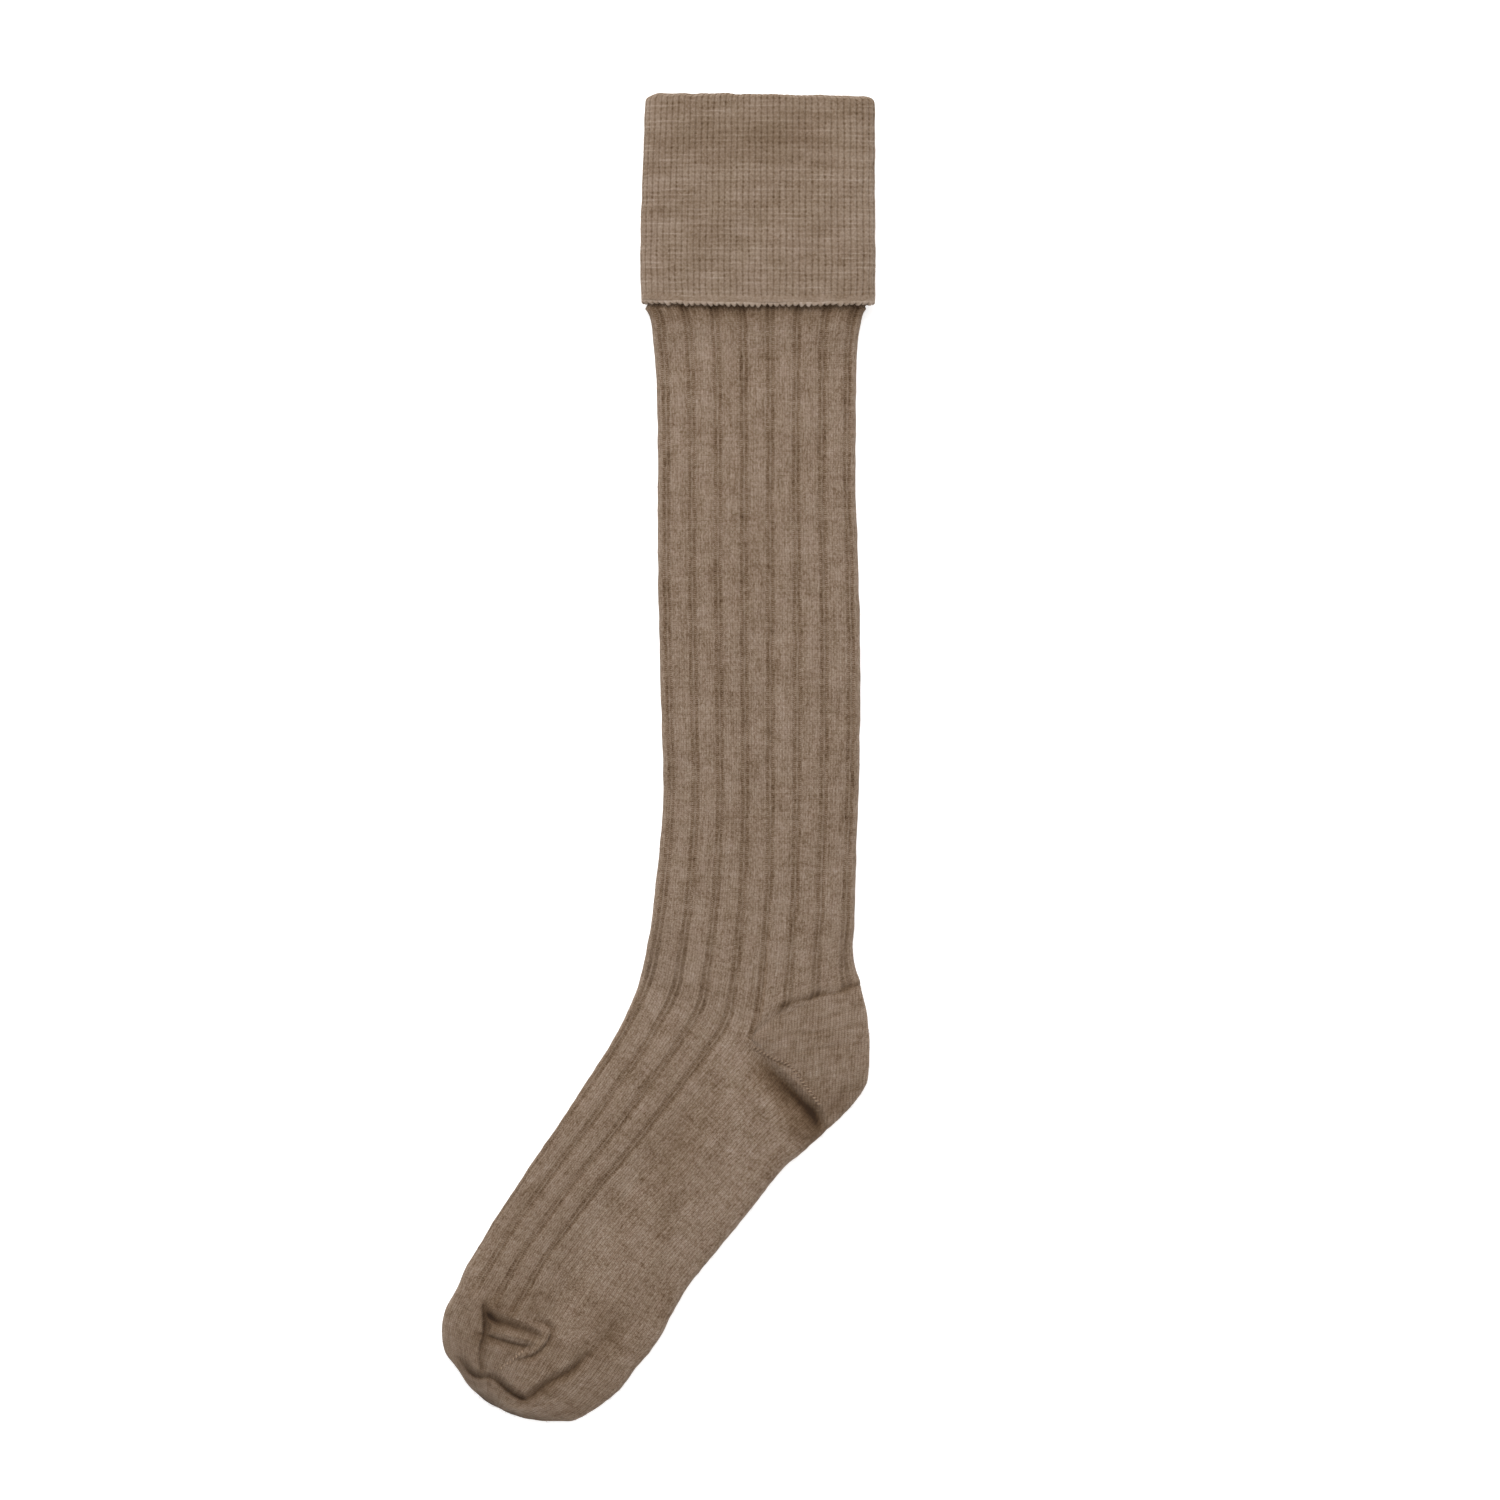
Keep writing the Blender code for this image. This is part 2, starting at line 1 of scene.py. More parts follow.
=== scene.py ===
"""The looks of a knee sock that lies flat on its side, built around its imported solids.

The cloth is lofted through the same sections as the solids, at the scale of its stitches. Round
the sock places are counted in wales, the columns of stitches, and along it in courses, the rows.
Both are kept in a UV map, which the materials read to draw every stitch.
"""

import json
import math
from collections import namedtuple

import bpy
import numpy as np
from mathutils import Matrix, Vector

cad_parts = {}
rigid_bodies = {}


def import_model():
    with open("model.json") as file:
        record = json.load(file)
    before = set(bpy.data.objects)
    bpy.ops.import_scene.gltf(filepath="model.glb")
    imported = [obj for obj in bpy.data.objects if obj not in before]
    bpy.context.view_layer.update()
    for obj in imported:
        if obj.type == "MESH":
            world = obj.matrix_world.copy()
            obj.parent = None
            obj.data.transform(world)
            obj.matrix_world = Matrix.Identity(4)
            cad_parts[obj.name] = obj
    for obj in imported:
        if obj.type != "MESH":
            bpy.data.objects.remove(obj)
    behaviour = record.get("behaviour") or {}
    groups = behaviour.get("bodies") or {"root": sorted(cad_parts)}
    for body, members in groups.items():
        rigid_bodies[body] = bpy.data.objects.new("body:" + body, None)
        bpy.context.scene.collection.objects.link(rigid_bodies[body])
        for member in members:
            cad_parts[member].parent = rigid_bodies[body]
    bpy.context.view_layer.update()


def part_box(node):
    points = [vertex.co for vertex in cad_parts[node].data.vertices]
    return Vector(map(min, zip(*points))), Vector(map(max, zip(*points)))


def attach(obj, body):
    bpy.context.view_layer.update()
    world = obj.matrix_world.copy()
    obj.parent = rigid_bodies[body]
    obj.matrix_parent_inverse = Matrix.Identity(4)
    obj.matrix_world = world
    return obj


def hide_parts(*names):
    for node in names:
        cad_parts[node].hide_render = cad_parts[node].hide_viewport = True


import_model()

MM = 0.001

# The photo's frame. Its pixel (PHOTO_X, PHOTO_Y) is the origin.
PHOTO_SIZE = 1500
PHOTO_X = 658.0
PHOTO_Y = 758.5
PIXEL = 0.47 * MM

# Sizes that the sock's solids have too
LEG_LENGTH = 445 * MM
LEG_WIDTH = 94.5 * MM
FOOT_LENGTH = 169 * MM
FOOT_WIDTH = 94 * MM
HEEL_RADIUS = 56 * MM
TOE_DEPTH = 43 * MM
CUFF_DEPTH = 97.5 * MM
LOFT = 11.5 * MM
EDGE_RADIUS = 3.6 * MM
WALL = 1.5 * MM
CUFF_WALL = 1.8 * MM
CUFF_GAP = 0.5 * MM
CUFF_LIP = 12 * MM
HEM_DEPTH = 2.4 * MM
SETTLE = 24 * MM
SEAM_GAP = 0.3 * MM

# Stitch counts
RIB_WALES = 10
ROUND_WALES = 160
FACE_WALES = 80
FRONT_WALES = 45
FIRST_GROOVE = 5.4
COURSE = 0.95 * MM
CUFF_COURSE = 2.31 * MM
HEEL_WALE = 1.4 * MM
HEEL_WALE_LEAN = 0.06  # how far the heel's wales lean and its courses rise, as slopes
HEEL_COURSE_RISE = 0.17
INSTEP_RIBS = range(-5, 5)


def rows_of(kind, table, in_mm=()):
    """A table's rows with named fields, some of which it gives in millimetres."""
    rows = [kind(*values) for values in table]
    return tuple(row._replace(**{name: getattr(row, name) * MM for name in in_mm}) for row in rows)


# The sections of leg, heel and foot. Widths are shares of the named sizes above, turns are degrees.
LegRow = namedtuple("LegRow", "along heading front_turn front back_turn back loft")
LEG_ROWS = rows_of(LegRow, (
    (0.000, 0.0, 0.0, 0.597, 0.0, 0.497, 0.96),
    (0.110, 0.0, 0.0, 0.609, 0.0, 0.488, 0.98),
    (0.216, 0.0, 0.0, 0.604, 0.0, 0.463, 1.00),
    (0.269, 0.0, 0.0, 0.577, 0.0, 0.433, 1.00),
    (0.333, 0.0, 0.0, 0.562, 0.0, 0.428, 1.00),
    (0.407, 0.0, 0.0, 0.560, 0.0, 0.425, 1.00),
    (0.492, 0.0, 0.0, 0.560, 0.0, 0.438, 1.00),
    (0.576, 0.0, 0.0, 0.552, 0.0, 0.448, 1.00),
    (0.661, 0.0, 0.0, 0.542, 0.0, 0.448, 1.00),
    (0.719, 0.0, 0.0, 0.532, 0.0, 0.443, 1.00),
    (0.778, 0.0, 0.0, 0.542, 0.0, 0.433, 1.00),
    (0.831, 1.1, 0.0, 0.565, 0.0, 0.430, 1.00),
    (0.873, 2.9, 0.0, 0.577, 0.0, 0.435, 1.00),
    (0.921, 3.8, 9.7, 0.591, 10.8, 0.451, 1.00),
    (0.961, 6.0, 20.3, 0.615, 20.1, 0.506, 1.00),
))
ANKLE_HEADING = 10.7
ANKLE_FRONT_TURN = 31.3
ANKLE_FRONT = 0.652
HEEL_TOP_BOW = 0.085
HeelRow = namedtuple("HeelRow", "turn reach bow loft")
HEEL_ROWS = rows_of(HeelRow, (
    (26.8, 1.024, 1.0, 1.00),
    (19.0, 1.000, 0.6, 1.03),
    (10.0, 0.988, 0.3, 1.05),
    (-4.9, 0.985, 0.0, 1.06),
    (-21.7, 1.020, 0.0, 1.05),
    (-35.4, 0.999, 0.0, 1.03),
    (-43.5, 0.988, 0.0, 1.01),
    (-50.2, 0.984, 0.0, 1.00),
))
FootRow = namedtuple("FootRow", "along heading front_turn front back_turn back loft")
FOOT_ROWS = rows_of(FootRow, (
    (0.095, 37.9, 37.3, 0.610, -45.7, 0.545, 1.00),
    (0.165, 38.5, 38.2, 0.580, -43.7, 0.522, 1.00),
    (0.231, 39.2, 39.1, 0.555, -41.8, 0.515, 1.00),
    (0.340, 38.4, 39.1, 0.535, -40.2, 0.515, 1.00),
    (0.457, 38.0, 39.1, 0.515, -38.7, 0.513, 1.00),
    (0.550, 40.3, 37.8, 0.497, -37.7, 0.515, 1.00),
    (0.650, 40.3, 36.5, 0.479, -36.8, 0.518, 1.00),
    (0.740, 35.6, 33.2, 0.472, -34.2, 0.531, 1.00),
    (0.831, 35.6, 29.9, 0.467, -31.5, 0.545, 1.00),
    (0.920, 25.3, 26.6, 0.473, -27.6, 0.521, 1.00),
    (1.000, 25.3, 23.4, 0.480, -23.7, 0.497, 1.00),
))
TOE_HEADING = 29.8
TOE_EXPONENT = 2.25
CuffRow = namedtuple("CuffRow", "along front back")
CUFF_ROWS = rows_of(CuffRow, (
    (0.00, 0.000, 0.000),
    (0.25, 0.004, 0.005),
    (0.50, 0.008, 0.010),
    (0.75, 0.013, 0.022),
    (1.00, 0.015, 0.035),
))
CROWN_EXPONENT = 0.7
TOE_CROWN_EXPONENT = 4
BOW_PEAK = 2.2

# The side point of the top fold, whose height in the photo is the top of the solids' box
TOP_SIDE = np.array([52.75 * MM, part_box("cuff")[1].y])

# How far the ribs have turned round the sock's edge: in wales, by share of the leg and of the foot
LEG_TURN = ((0.0, 0.4), (0.85, 0.4), (1.0, 0.9))
FOOT_TURN = ((0.0, 0.9), (0.3, 2.0), (0.5, 2.7), (0.75, 3.7), (0.9, 4.6), (1.0, 5.8))

# The knit's columns in one rib. A groove is a purl, a knit and a purl stitch, and the rest is knit.
PURL_PLACE = 0.8  # wales from a groove's middle to the middle of its purl columns
GROOVE_EDGE = 1.6
PURL_ENDS = (1.2, 2.0)  # where the first purl column ends and the second starts
GROOVE_STEP = 0.4
PLATEAU_COLUMNS = 7

# Relief of the knit
GROOVE_DEPTH = 0.32 * MM  # the broad dip between two ribs
GROOVE_WIDTH = 2.2  # in wales
PURL_DEPTH = 0.14 * MM  # each of the two purl lines in a groove
PURL_WIDTH = 0.36
WALE_DEPTH = 0.12 * MM
PLAIN_WALE_DEPTH = 0.06 * MM
INSTEP_WALES = 39.5  # where the foot's ribs end, in wales from the front edge
RIDGE_WALES = 38.3  # the ridge beside the last groove, where light is painted
CUFF_VALLEY_DEPTH = 0.44 * MM
CUFF_VALLEY_WIDTH = 0.40
CUFF_BAR_SHARE = 0.35  # how deep the valley is where a bar of yarn crosses it
CUFF_PLAIN_EDGE = 3.4 * MM
CUFF_PLAIN_SHARE = 0.3  # share of it where nothing of the rib shows
CUFF_EDGE_LIGHT = 0.10
CUFF_HOLE_SHADE = 0.05
CORNER_RADIUS = 3.4 * MM
TOP_SLANT = 0.5 * MM  # how much lower than its middle the top fold lies at its back end
HEM_SAG = 1.5 * MM  # how much higher the band's lower end lies at its two ends than in its middle
HEM_SLANT = 0.3 * MM
HEM_DROP = 0.4 * MM  # how far its lowest place lies under the solids' one
HEM_ENDS = (640, 875)  # the band's two lower ends, in photo pixels across
SAG_EXPONENT = 4  # how fast the sag fades up the band
CREASE_EXPONENT = 1.5  # how steep a crease's sides are
CREASE_FINENESS = 6  # straight runs of its line for each of its places
FACING_START = 0.1  # upward part of the normal where creases start, and over how much they grow
FACING_SPAN = 0.5
DROP_RISE = 1.1  # creases are full at heights over the loft divided by this
WRONG_WAY = -0.3  # a normal's part along its face's way out, under which it is turned
TOOTH_LENGTH = 1.5 * MM

# A fold pressed into the upper face, a ridge where depth is below 0, or only painted shade where it is
# 0.
# Its line runs through pixels of the photo, each with the share of the depth there. left and right
# are its widths beside the line as it is travelled, and shade is the painted shade in its fold;
# where shade is below 0 it is painted light on a ridge.
Crease = namedtuple("Crease", "name depth left right shade line")
CREASES = rows_of(Crease, (
    ("heel_fold", 4.4, 5.0, 12.0, 0.52, (
        (754, 1053, 0.2), (771, 1071, 0.7), (783, 1083, 0.9), (795, 1095, 1.0), (808, 1107, 1.0),
        (816, 1114, 1.0), (820, 1123, 0.8), (821, 1134, 0.5), (815, 1146, 0.3))),
    ("heel_fold_dark", 0.0, 3.4, 6.0, 0.32, (
        (761, 1063, 0.4), (769, 1071, 0.8), (781, 1083, 1.0), (793, 1095, 1.0), (805, 1107, 1.0),
        (814, 1117, 1.0), (817, 1130, 0.5), (813, 1142, 0.3))),
    ("heel_fold_band", 0.0, 6.0, 3.2, 0.15, (
        (757, 1066, 0.4), (766, 1082, 1.0), (778, 1100, 1.0), (789, 1122, 1.0), (798, 1138, 0.9))),
    ("heel_top", 0.45, 2.8, 1.6, 0.52, (
        (772, 1014, 0.1), (780, 1008, 0.9), (797, 1001, 0.8), (810, 998, 0.9), (824, 994, 1.0),
        (832, 994, 0.3), (840, 992, 0.9), (861, 983, 1.0))),
    ("heel_tuck", 0.3, 1.2, 1.2, 0.28, (
        (780, 1007, 1.0), (780.5, 1020, 0.5), (780, 1026, 0.1))),
    ("heel_band_top", 0.15, 1.6, 1.6, 0.18, (
        (800, 1023, 0.2), (820, 1019, 1.0), (845, 1012, 1.0), (862, 1009, 0.3))),
    ("heel_band_middle", 0.2, 1.7, 1.7, 0.17, (
        (790, 1034, 0.3), (815, 1033, 0.9), (835, 1029, 0.5), (860, 1024, 0.4))),
    ("heel_band_low", 0.2, 1.7, 2.0, 0.17, (
        (786, 1052, 0.2), (812, 1050, 0.9), (842, 1045, 0.8), (864, 1043, 0.3))),
    ("heel_corner", 0.7, 5.0, 5.0, 0.18, (
        (822, 1117, 0.4), (836, 1104, 1.0), (850, 1090, 0.8), (860, 1076, 0.2))),
    ("gore_line", 0.3, 1.3, 1.3, 0.46, (
        (751, 1045, 0.8), (764, 1054, 1.0), (778, 1062, 1.0), (790, 1067, 0.7), (806, 1080, 0.3),
        (820, 1092, 0.1))),
    ("ankle_shade", 0.3, 3.5, 3.5, 0.1, (
        (752, 975, 0.2), (757, 1000, 1.0), (756, 1016, 0.5), (752, 1030, 0.1))),
    ("sole_fan_left", 0.4, 3.0, 3.0, 0.08, (
        (735, 1082, 0.3), (746, 1108, 1.0), (757, 1132, 0.2))),
    ("sole_fan_right", 0.5, 3.0, 3.0, 0.09, (
        (745, 1090, 0.2), (759, 1118, 1.0), (775, 1148, 0.2))),
    ("toe_side", 2.1, 5.2, 0.9, 0.52, (
        (484, 1299, 0.1), (483, 1308, 0.9), (483.5, 1320, 1.0), (483.5, 1334, 1.0), (480.5, 1346, 0.8),
        (480, 1360, 0.8), (481, 1372, 0.6), (481, 1378, 0.2))),
    ("toe_pit", 2.5, 4.6, 3.0, 0.66, (
        (485, 1309, 0.5), (489, 1316, 1.0), (497, 1321, 0.85), (507, 1324.5, 0.7), (519, 1328.5, 0.6),
        (531, 1333, 0.5), (539, 1338, 0.2))),
    ("toe_ridge", -0.8, 1.7, 1.7, -0.05, (
        (492, 1331, 0.5), (510, 1335, 1.0), (528, 1339.5, 0.8), (536, 1342, 0.3))),
    ("toe_tuck", 1.7, 1.5, 4.2, 0.46, (
        (485, 1334, 0.9), (495, 1338, 1.0), (507, 1341.6, 1.0), (519, 1344.6, 1.0), (527, 1346, 0.7),
        (531, 1345, 0.1))),
    ("flap_edge", 1.5, 3.4, 1.0, 0.42, (
        (537, 1321, 0.3), (545, 1324, 0.7), (550.5, 1328, 1.0), (551, 1334, 1.0), (549, 1340, 1.0),
        (544, 1346, 1.0), (538, 1352, 0.9), (530, 1356, 0.7), (519, 1359, 0.4), (508, 1361, 0.1))),
    ("flap", -0.7, 2.4, 2.4, -0.06, (
        (528, 1325, 0.4), (541, 1330, 1.0), (543, 1340, 1.0), (534, 1350, 0.7), (522, 1353, 0.4))),
    ("tip_fold", 3.2, 4.4, 1.6, 0.7, (
        (457, 1355, 0.1), (463, 1364, 0.6), (470, 1374, 0.9), (477, 1378, 0.9), (484, 1378, 0.7),
        (490, 1378, 0.7), (497, 1382, 0.85), (507, 1391, 1.0), (516, 1397, 1.0), (525, 1400, 0.9),
        (531, 1399, 0.2))),
    ("tip_fold_back", 2.1, 4.0, 4.0, 0.62, (
        (521, 1401, 0.6), (530, 1397, 0.9), (541, 1388, 0.85), (555, 1379, 0.9), (567, 1373, 1.0),
        (579, 1364, 0.8), (586, 1357, 0.6), (600, 1345, 0.2))),
    ("tip_rim", -0.6, 2.2, 6.0, -0.22, (
        (460, 1374, 0.7), (470, 1386, 1.0), (492, 1392, 1.0), (512, 1407, 1.0), (534, 1410, 0.9),
        (560, 1400, 0.5))),
    ("toe_seam", 0.4, 0.5, 0.7, 0.3, (
        (463, 1307, 0.8), (468, 1310, 1.0), (474, 1311.8, 0.6))),
    ("sole_dent", 1.0, 8.0, 8.0, 0.2, (
        (592, 1352, 0.5), (604, 1340, 1.0), (612, 1325, 0.8), (608, 1310, 0.3))),
), in_mm=("depth", "left", "right"))

# Soft darker or lighter areas of the upper face, as pixels of the photo: a place and half sizes. Those
# in the heel's and toe's folds and pits and below the hem are painted shade; the others darken or
# lighten the cloth.
ShadePatch = namedtuple("ShadePatch", "x y wide tall shade")
SHADE_PATCHES = rows_of(ShadePatch, (
    (762, 138, 76, 25, 0.27),
    (715, 233, 24, 12, 0.12),
    (770, 215, 30, 12, 0.08),
    (820, 230, 26, 10, 0.08),
    (760, 314, 110, 13, 0.08),
    (800, 975, 45, 42, 0.02),
    (799, 1101, 27, 20, 0.10),
    (808, 1128, 16, 14, 0.30),
    (842, 1094, 24, 22, 0.12),
    (688, 1125, 26, 46, 0.11),
    (666, 1170, 15, 62, 0.12),
    (752, 1132, 22, 46, -0.07),
    (502, 1322, 36, 24, 0.16),
    (498, 1303, 20, 12, 0.15),
    (489, 1320, 8, 15, 0.24),
    (545, 1296, 34, 44, 0.10),
    (620, 1330, 27, 24, 0.15),
    (590, 1356, 24, 16, 0.13),
    (472, 1350, 13, 20, 0.08),
    (520, 1394, 30, 10, 0.05),
    (648, 1300, 30, 26, 0.08),
    (768, 1046, 16, 12, -0.14),
    (824, 1075, 46, 10, -0.14),
    (850, 1040, 20, 10, -0.10),
    (798, 1132, 16, 20, 0.12),
    (600, 1316, 16, 16, 0.13),
    (478, 1338, 10, 9, 0.18),
    (540, 1300, 14, 16, 0.12),
    (540, 1386, 18, 12, 0.13),
    (642, 1332, 14, 10, -0.12),
    (452, 1300, 12, 20, -0.12),
))
# Painted shadow that the hem casts on the leg, and how far down it fades
HEM_SHADE = 0.33
HEM_SHADE_LENGTH = 6.2 * MM
GATHER_SHADE = 0.20  # painted shade and light in fine upright folds of drawn-in cloth just below the hem
GATHER_LENGTH = 7 * MM
GATHER_MIDDLE = 0.4  # the draw that leaves the shade as it is
FOOT_SHADE = 0.035
FOOT_SHADE_START = 40 * MM  # how far down the foot it is in full
# Painted shade in the ribs' grooves and on their purl lines
GROOVE_SHADE = 0.14
PURL_SHADE = 0.10
# Painted light on the ridge beside the last groove
RIDGE_SHADE = -0.10
# Painted shade of the inner skin, inside the sock
INSIDE_SHADE = 0.25

# The leg stands out at both edges just below the hem: how far, and over which length
FLARE_FRONT = 2.6 * MM
FLARE_BACK = 2.2 * MM
FLARE_LENGTH = 2.6 * MM

# The slack of the cloth: wavelengths in mm along X and Y, phase, and height in mm
Wave = namedtuple("Wave", "x y phase height")
WAVES = rows_of(Wave, (
    (61.0, 97.0, 0.3, 0.16),
    (-43.0, 71.0, 1.9, 0.14),
    (29.0, 118.0, 4.1, 0.10),
    (-37.0, 33.0, 2.6, 0.09),
), in_mm=("x", "y", "height"))

# Small moves of the outline, in pixels of the photo: a place, how far it reaches, and the move there
Nudge = namedtuple("Nudge", "x y reach right down")
NUDGES = rows_of(Nudge, (
    (448, 1378, 20, 7.5, -3.0),
    (470, 1268, 16, -2.5, -0.5),
    (574, 1421, 16, 1.5, 2.0),
    (650, 1355, 22, 2.0, 0.5),
    (800, 1152, 18, 1.5, 1.0),
    (866, 1075, 40, 1.5, 0.5),
    (446, 1345, 14, 1.5, 0.0),
    (471, 1396, 13, 3.0, -1.0),
    (440, 1311, 16, -1.6, 0.0),
    (489, 1402, 26, 0.8, -1.5),
    (592, 1392, 24, -1.2, -1.0),
))

# Sideways waves of the whole cloth: wavelengths in mm along X and Y, phase, and size in mm
SWAYS = rows_of(Wave, (
    (31.0, 17.0, 0.4, 0.06),
    (-19.0, 23.0, 2.2, 0.07),
    (13.0, -41.0, 4.0, 0.07),
    (9.0, 11.0, 1.1, 0.05),
), in_mm=("x", "y", "height"))

SWAY_RATIO = 1.3  # turns of the sway along Y for one of that along X

# The wool's colour, linear. It turns redder as it darkens: red, green and blue follow these powers.
WOOL = (0.246, 0.174, 0.122)
CUFF_WOOL = (0.238, 0.174, 0.126)
TONE_POWERS = (0.82, 1.0, 1.26)

# The hem's profile, from its upper outer corner round its lower end to the upper inner corner:
# inset is from the band's outer skin, and drop and tooth are shares of the body's and tooth's length.
HemRow = namedtuple("HemRow", "inset drop tooth")
HEM_ROWS = rows_of(HemRow, (
    (0.00, 0.00, 0.00),
    (-0.06, 0.35, 0.00),
    (-0.06, 0.70, 0.10),
    (0.00, 0.90, 0.35),
    (0.12, 1.00, 0.62),
    (0.32, 1.00, 0.86),
    (0.60, 1.00, 1.00),
    (0.90, 1.00, 0.90),
    (1.15, 0.95, 0.55),
    (1.40, 0.85, 0.20),
    (1.65, 0.60, 0.00),
    (1.80, 0.30, 0.00),
    (1.80, 0.00, 0.00),
    (0.90, 0.00, 0.00),
), in_mm=("inset",))

# How the hem's teeth vary, as shares of their length, and how far they lean
TOOTH_ROUNDNESS = 1.1
TOOTH_LENGTHS = (0.55, 1.10)
TOOTH_LEANS = (-0.35 * MM, 0.35 * MM)
TOOTH_SHADE = 0.30  # painted shade between the teeth
HEM_COURSE_ROWS = 4.0  # rows of the hem in one course of its yarn

# Waves of the top fold: their length and phase, and their height
TOP_WAVES = ((3.9 * MM, 0.0, 0.12 * MM), (1.7 * MM, 1.0, 0.12 * MM), (17.0 * MM, 0.5, 0.15 * MM))
TOP_WAVE_DEPTH = 9 * MM  # how far down they fade out

# Where the ribs' grooves fade
SIDE_RIB_WALES = 7  # reach of the grooves by the sock's side lines, which fade towards the heel
SIDE_FADE_START = 80 * MM  # above the heel, from where they fade to SIDE_STRENGTH
SIDE_FADE_END = 20 * MM
SIDE_STRENGTH = 0.35
SIDE_FADE = 16 * MM  # and from here to nothing
HEEL_FADE = 5 * MM  # the back's grooves, right above the heel
HEEL_STRENGTH = 0.15
TOE_FADE = 9 * MM
TOE_STRENGTH = 0.20
INSTEP_FADE = 1.5  # wales

# The grids of cloth. Rows go down the sock and columns round it.
LEG_SEEN_ROWS = 206
LEG_HIDDEN_ROWS = 9
LEG_HIDDEN_DEPTH = 4 * MM  # how far above the band's lower end the hidden rows end
FOOT_ROW_GAPS = ((0.0, 128 * MM, 108), (128 * MM, FOOT_LENGTH, 62))
SOLE_COLUMNS = 128
HEEL_SHAPE = (112, 176)  # rows of the fan and points on each
HEEL_MARGIN = 0.04  # wales between the heel and the lines where it meets leg and foot
TOE_ROWS = 76
TOE_COLUMNS = (210, 130)  # over the upper face and under the lower one
TIP_GAP = 1.2 * MM  # distance of the last even row from the tip
TIP_GAPS_MM = (0.8, 0.5, 0.25, 0.1, 0.03)  # and of the rows after it
PAIR_OFFSETS = (0.0, 0.3, 0.72, 1.28, 1.7)  # columns over a purl and a knit wale of the cuff
COURSE_OFFSETS = (0.0, 0.28, 0.72)
FOLD_TURNS = 11
LIP_ROWS = 6
LIP_START = 1 * MM
POINTS_PER_TOOTH = 8
CORNER_POINTS = 13  # of a section round a folded edge
FACE_POINTS = 81
PATH_BLUR = (-9 * MM, -4.5 * MM, 0.0, 4.5 * MM, 9 * MM)
SMOOTH_ANGLE = 65  # degrees, over which an edge stays sharp

# Shares of the baked picture. The skins lie one above the other and the side rims beside them.
BAKE_SKIN = 0.80
BAKE_INNER = (0.82, 0.98)
BAKE_WIDTH = 0.96
BAKE_RIMS = (0.965, 0.985)
BAKE_RIM_WIDTH = 0.012
CELL_MARGIN = 0.05

# Loose fibres: their piece, how many, and the slot
FUZZ_COUNTS = (
    ("cuff", 900, "cuff_rib"),
    ("leg", 1100, "ribbed_knit"),
    ("foot", 700, "ribbed_knit"),
    ("heel", 250, "plain_knit"),
    ("toe", 250, "plain_knit"),
)
FUZZ_TOP = 0.30  # no fibres above this Y, where the mouth is
FUZZ_SHADE = 0.25  # nor in folds darker than this
FUZZ_TRIES = 3  # for each fibre
FUZZ_FACING = -0.3  # the least upward part of the cloth's normal under one
FUZZ_LENGTHS = (1.0 * MM, 3.2 * MM)
FUZZ_RISES = (0.15 * MM, 0.9 * MM)
FUZZ_CURL = 0.35
FUZZ_RADIUS = 0.055 * MM
FUZZ_POINTS = 4
FUZZ_BEND = 0.25
STRAND_LEAN = 0.3  # keeps a strand's sides apart where it stands upright
FUZZ_TAPER = 0.5
FUZZ_ARC = 0.8 * math.pi
STRAND_SIDES = 3

# Seams sewn by hand: a line through pixels of the photo, and how its stitches turn from it in degrees
Seam = namedtuple("Seam", "cloths step turn length radius line")
GORE_SEAM = Seam(("heel_knit", "foot_knit"), 1.80 * MM, 62.0, 2.1 * MM, 0.42 * MM,
                 ((752.4, 1046.3), (770, 1056), (790, 1066), (803, 1082), (820, 1105)))
TOE_SEAM = Seam(("toe_knit", "foot_knit"), 1.8 * MM, 55.0, 1.9 * MM, 0.34 * MM,
                ((524, 1350), (512, 1360), (500, 1369)))
SEAM_POINTS = 5
SEAM_ARCH = 1.6  # how far a stitch's ends dip, in radii
SEAM_ENDS = 1.05  # over 1, so that its ends keep some thickness
SEAM_AHEAD = 0.1 * MM

# Where the random draws start
GATHER_SEED = 5
HEM_SEED = 11
FUZZ_SEED = 100

Rows = namedtuple("Rows", "side front_turn front back_turn back bow lift loft edge")


def place(px, py):
    """The place in metres of a pixel of the photo."""
    return np.array([(px - PHOTO_X) * PIXEL, (PHOTO_Y - py) * PIXEL])


def eased(share):
    """0 to 1 with level ends."""
    share = np.clip(share, 0.0, 1.0)
    return share * share * (3 - 2 * share)


def at_least(least, share):
    """0 to 1 turned into least to 1."""
    return least + (1.0 - least) * share


def bell(distance):
    """1 at a distance of 0, and less and less on both sides."""
    return np.exp(-(distance**2))


def lengths_along(points):
    """The distance of each point of a line from its first, along the line."""
    return np.append(0.0, np.cumsum(np.linalg.norm(np.diff(points, axis=0), axis=1)))


def wave_angle(wave, points):
    turns = points[..., 0] / wave.x + points[..., 1] / wave.y
    return 2 * math.pi * turns + wave.phase


def column(rows, name):
    return np.array([getattr(row, name) for row in rows], float)


def table_value(table, shares):
    at, values = zip(*table)
    return np.interp(shares, at, values)


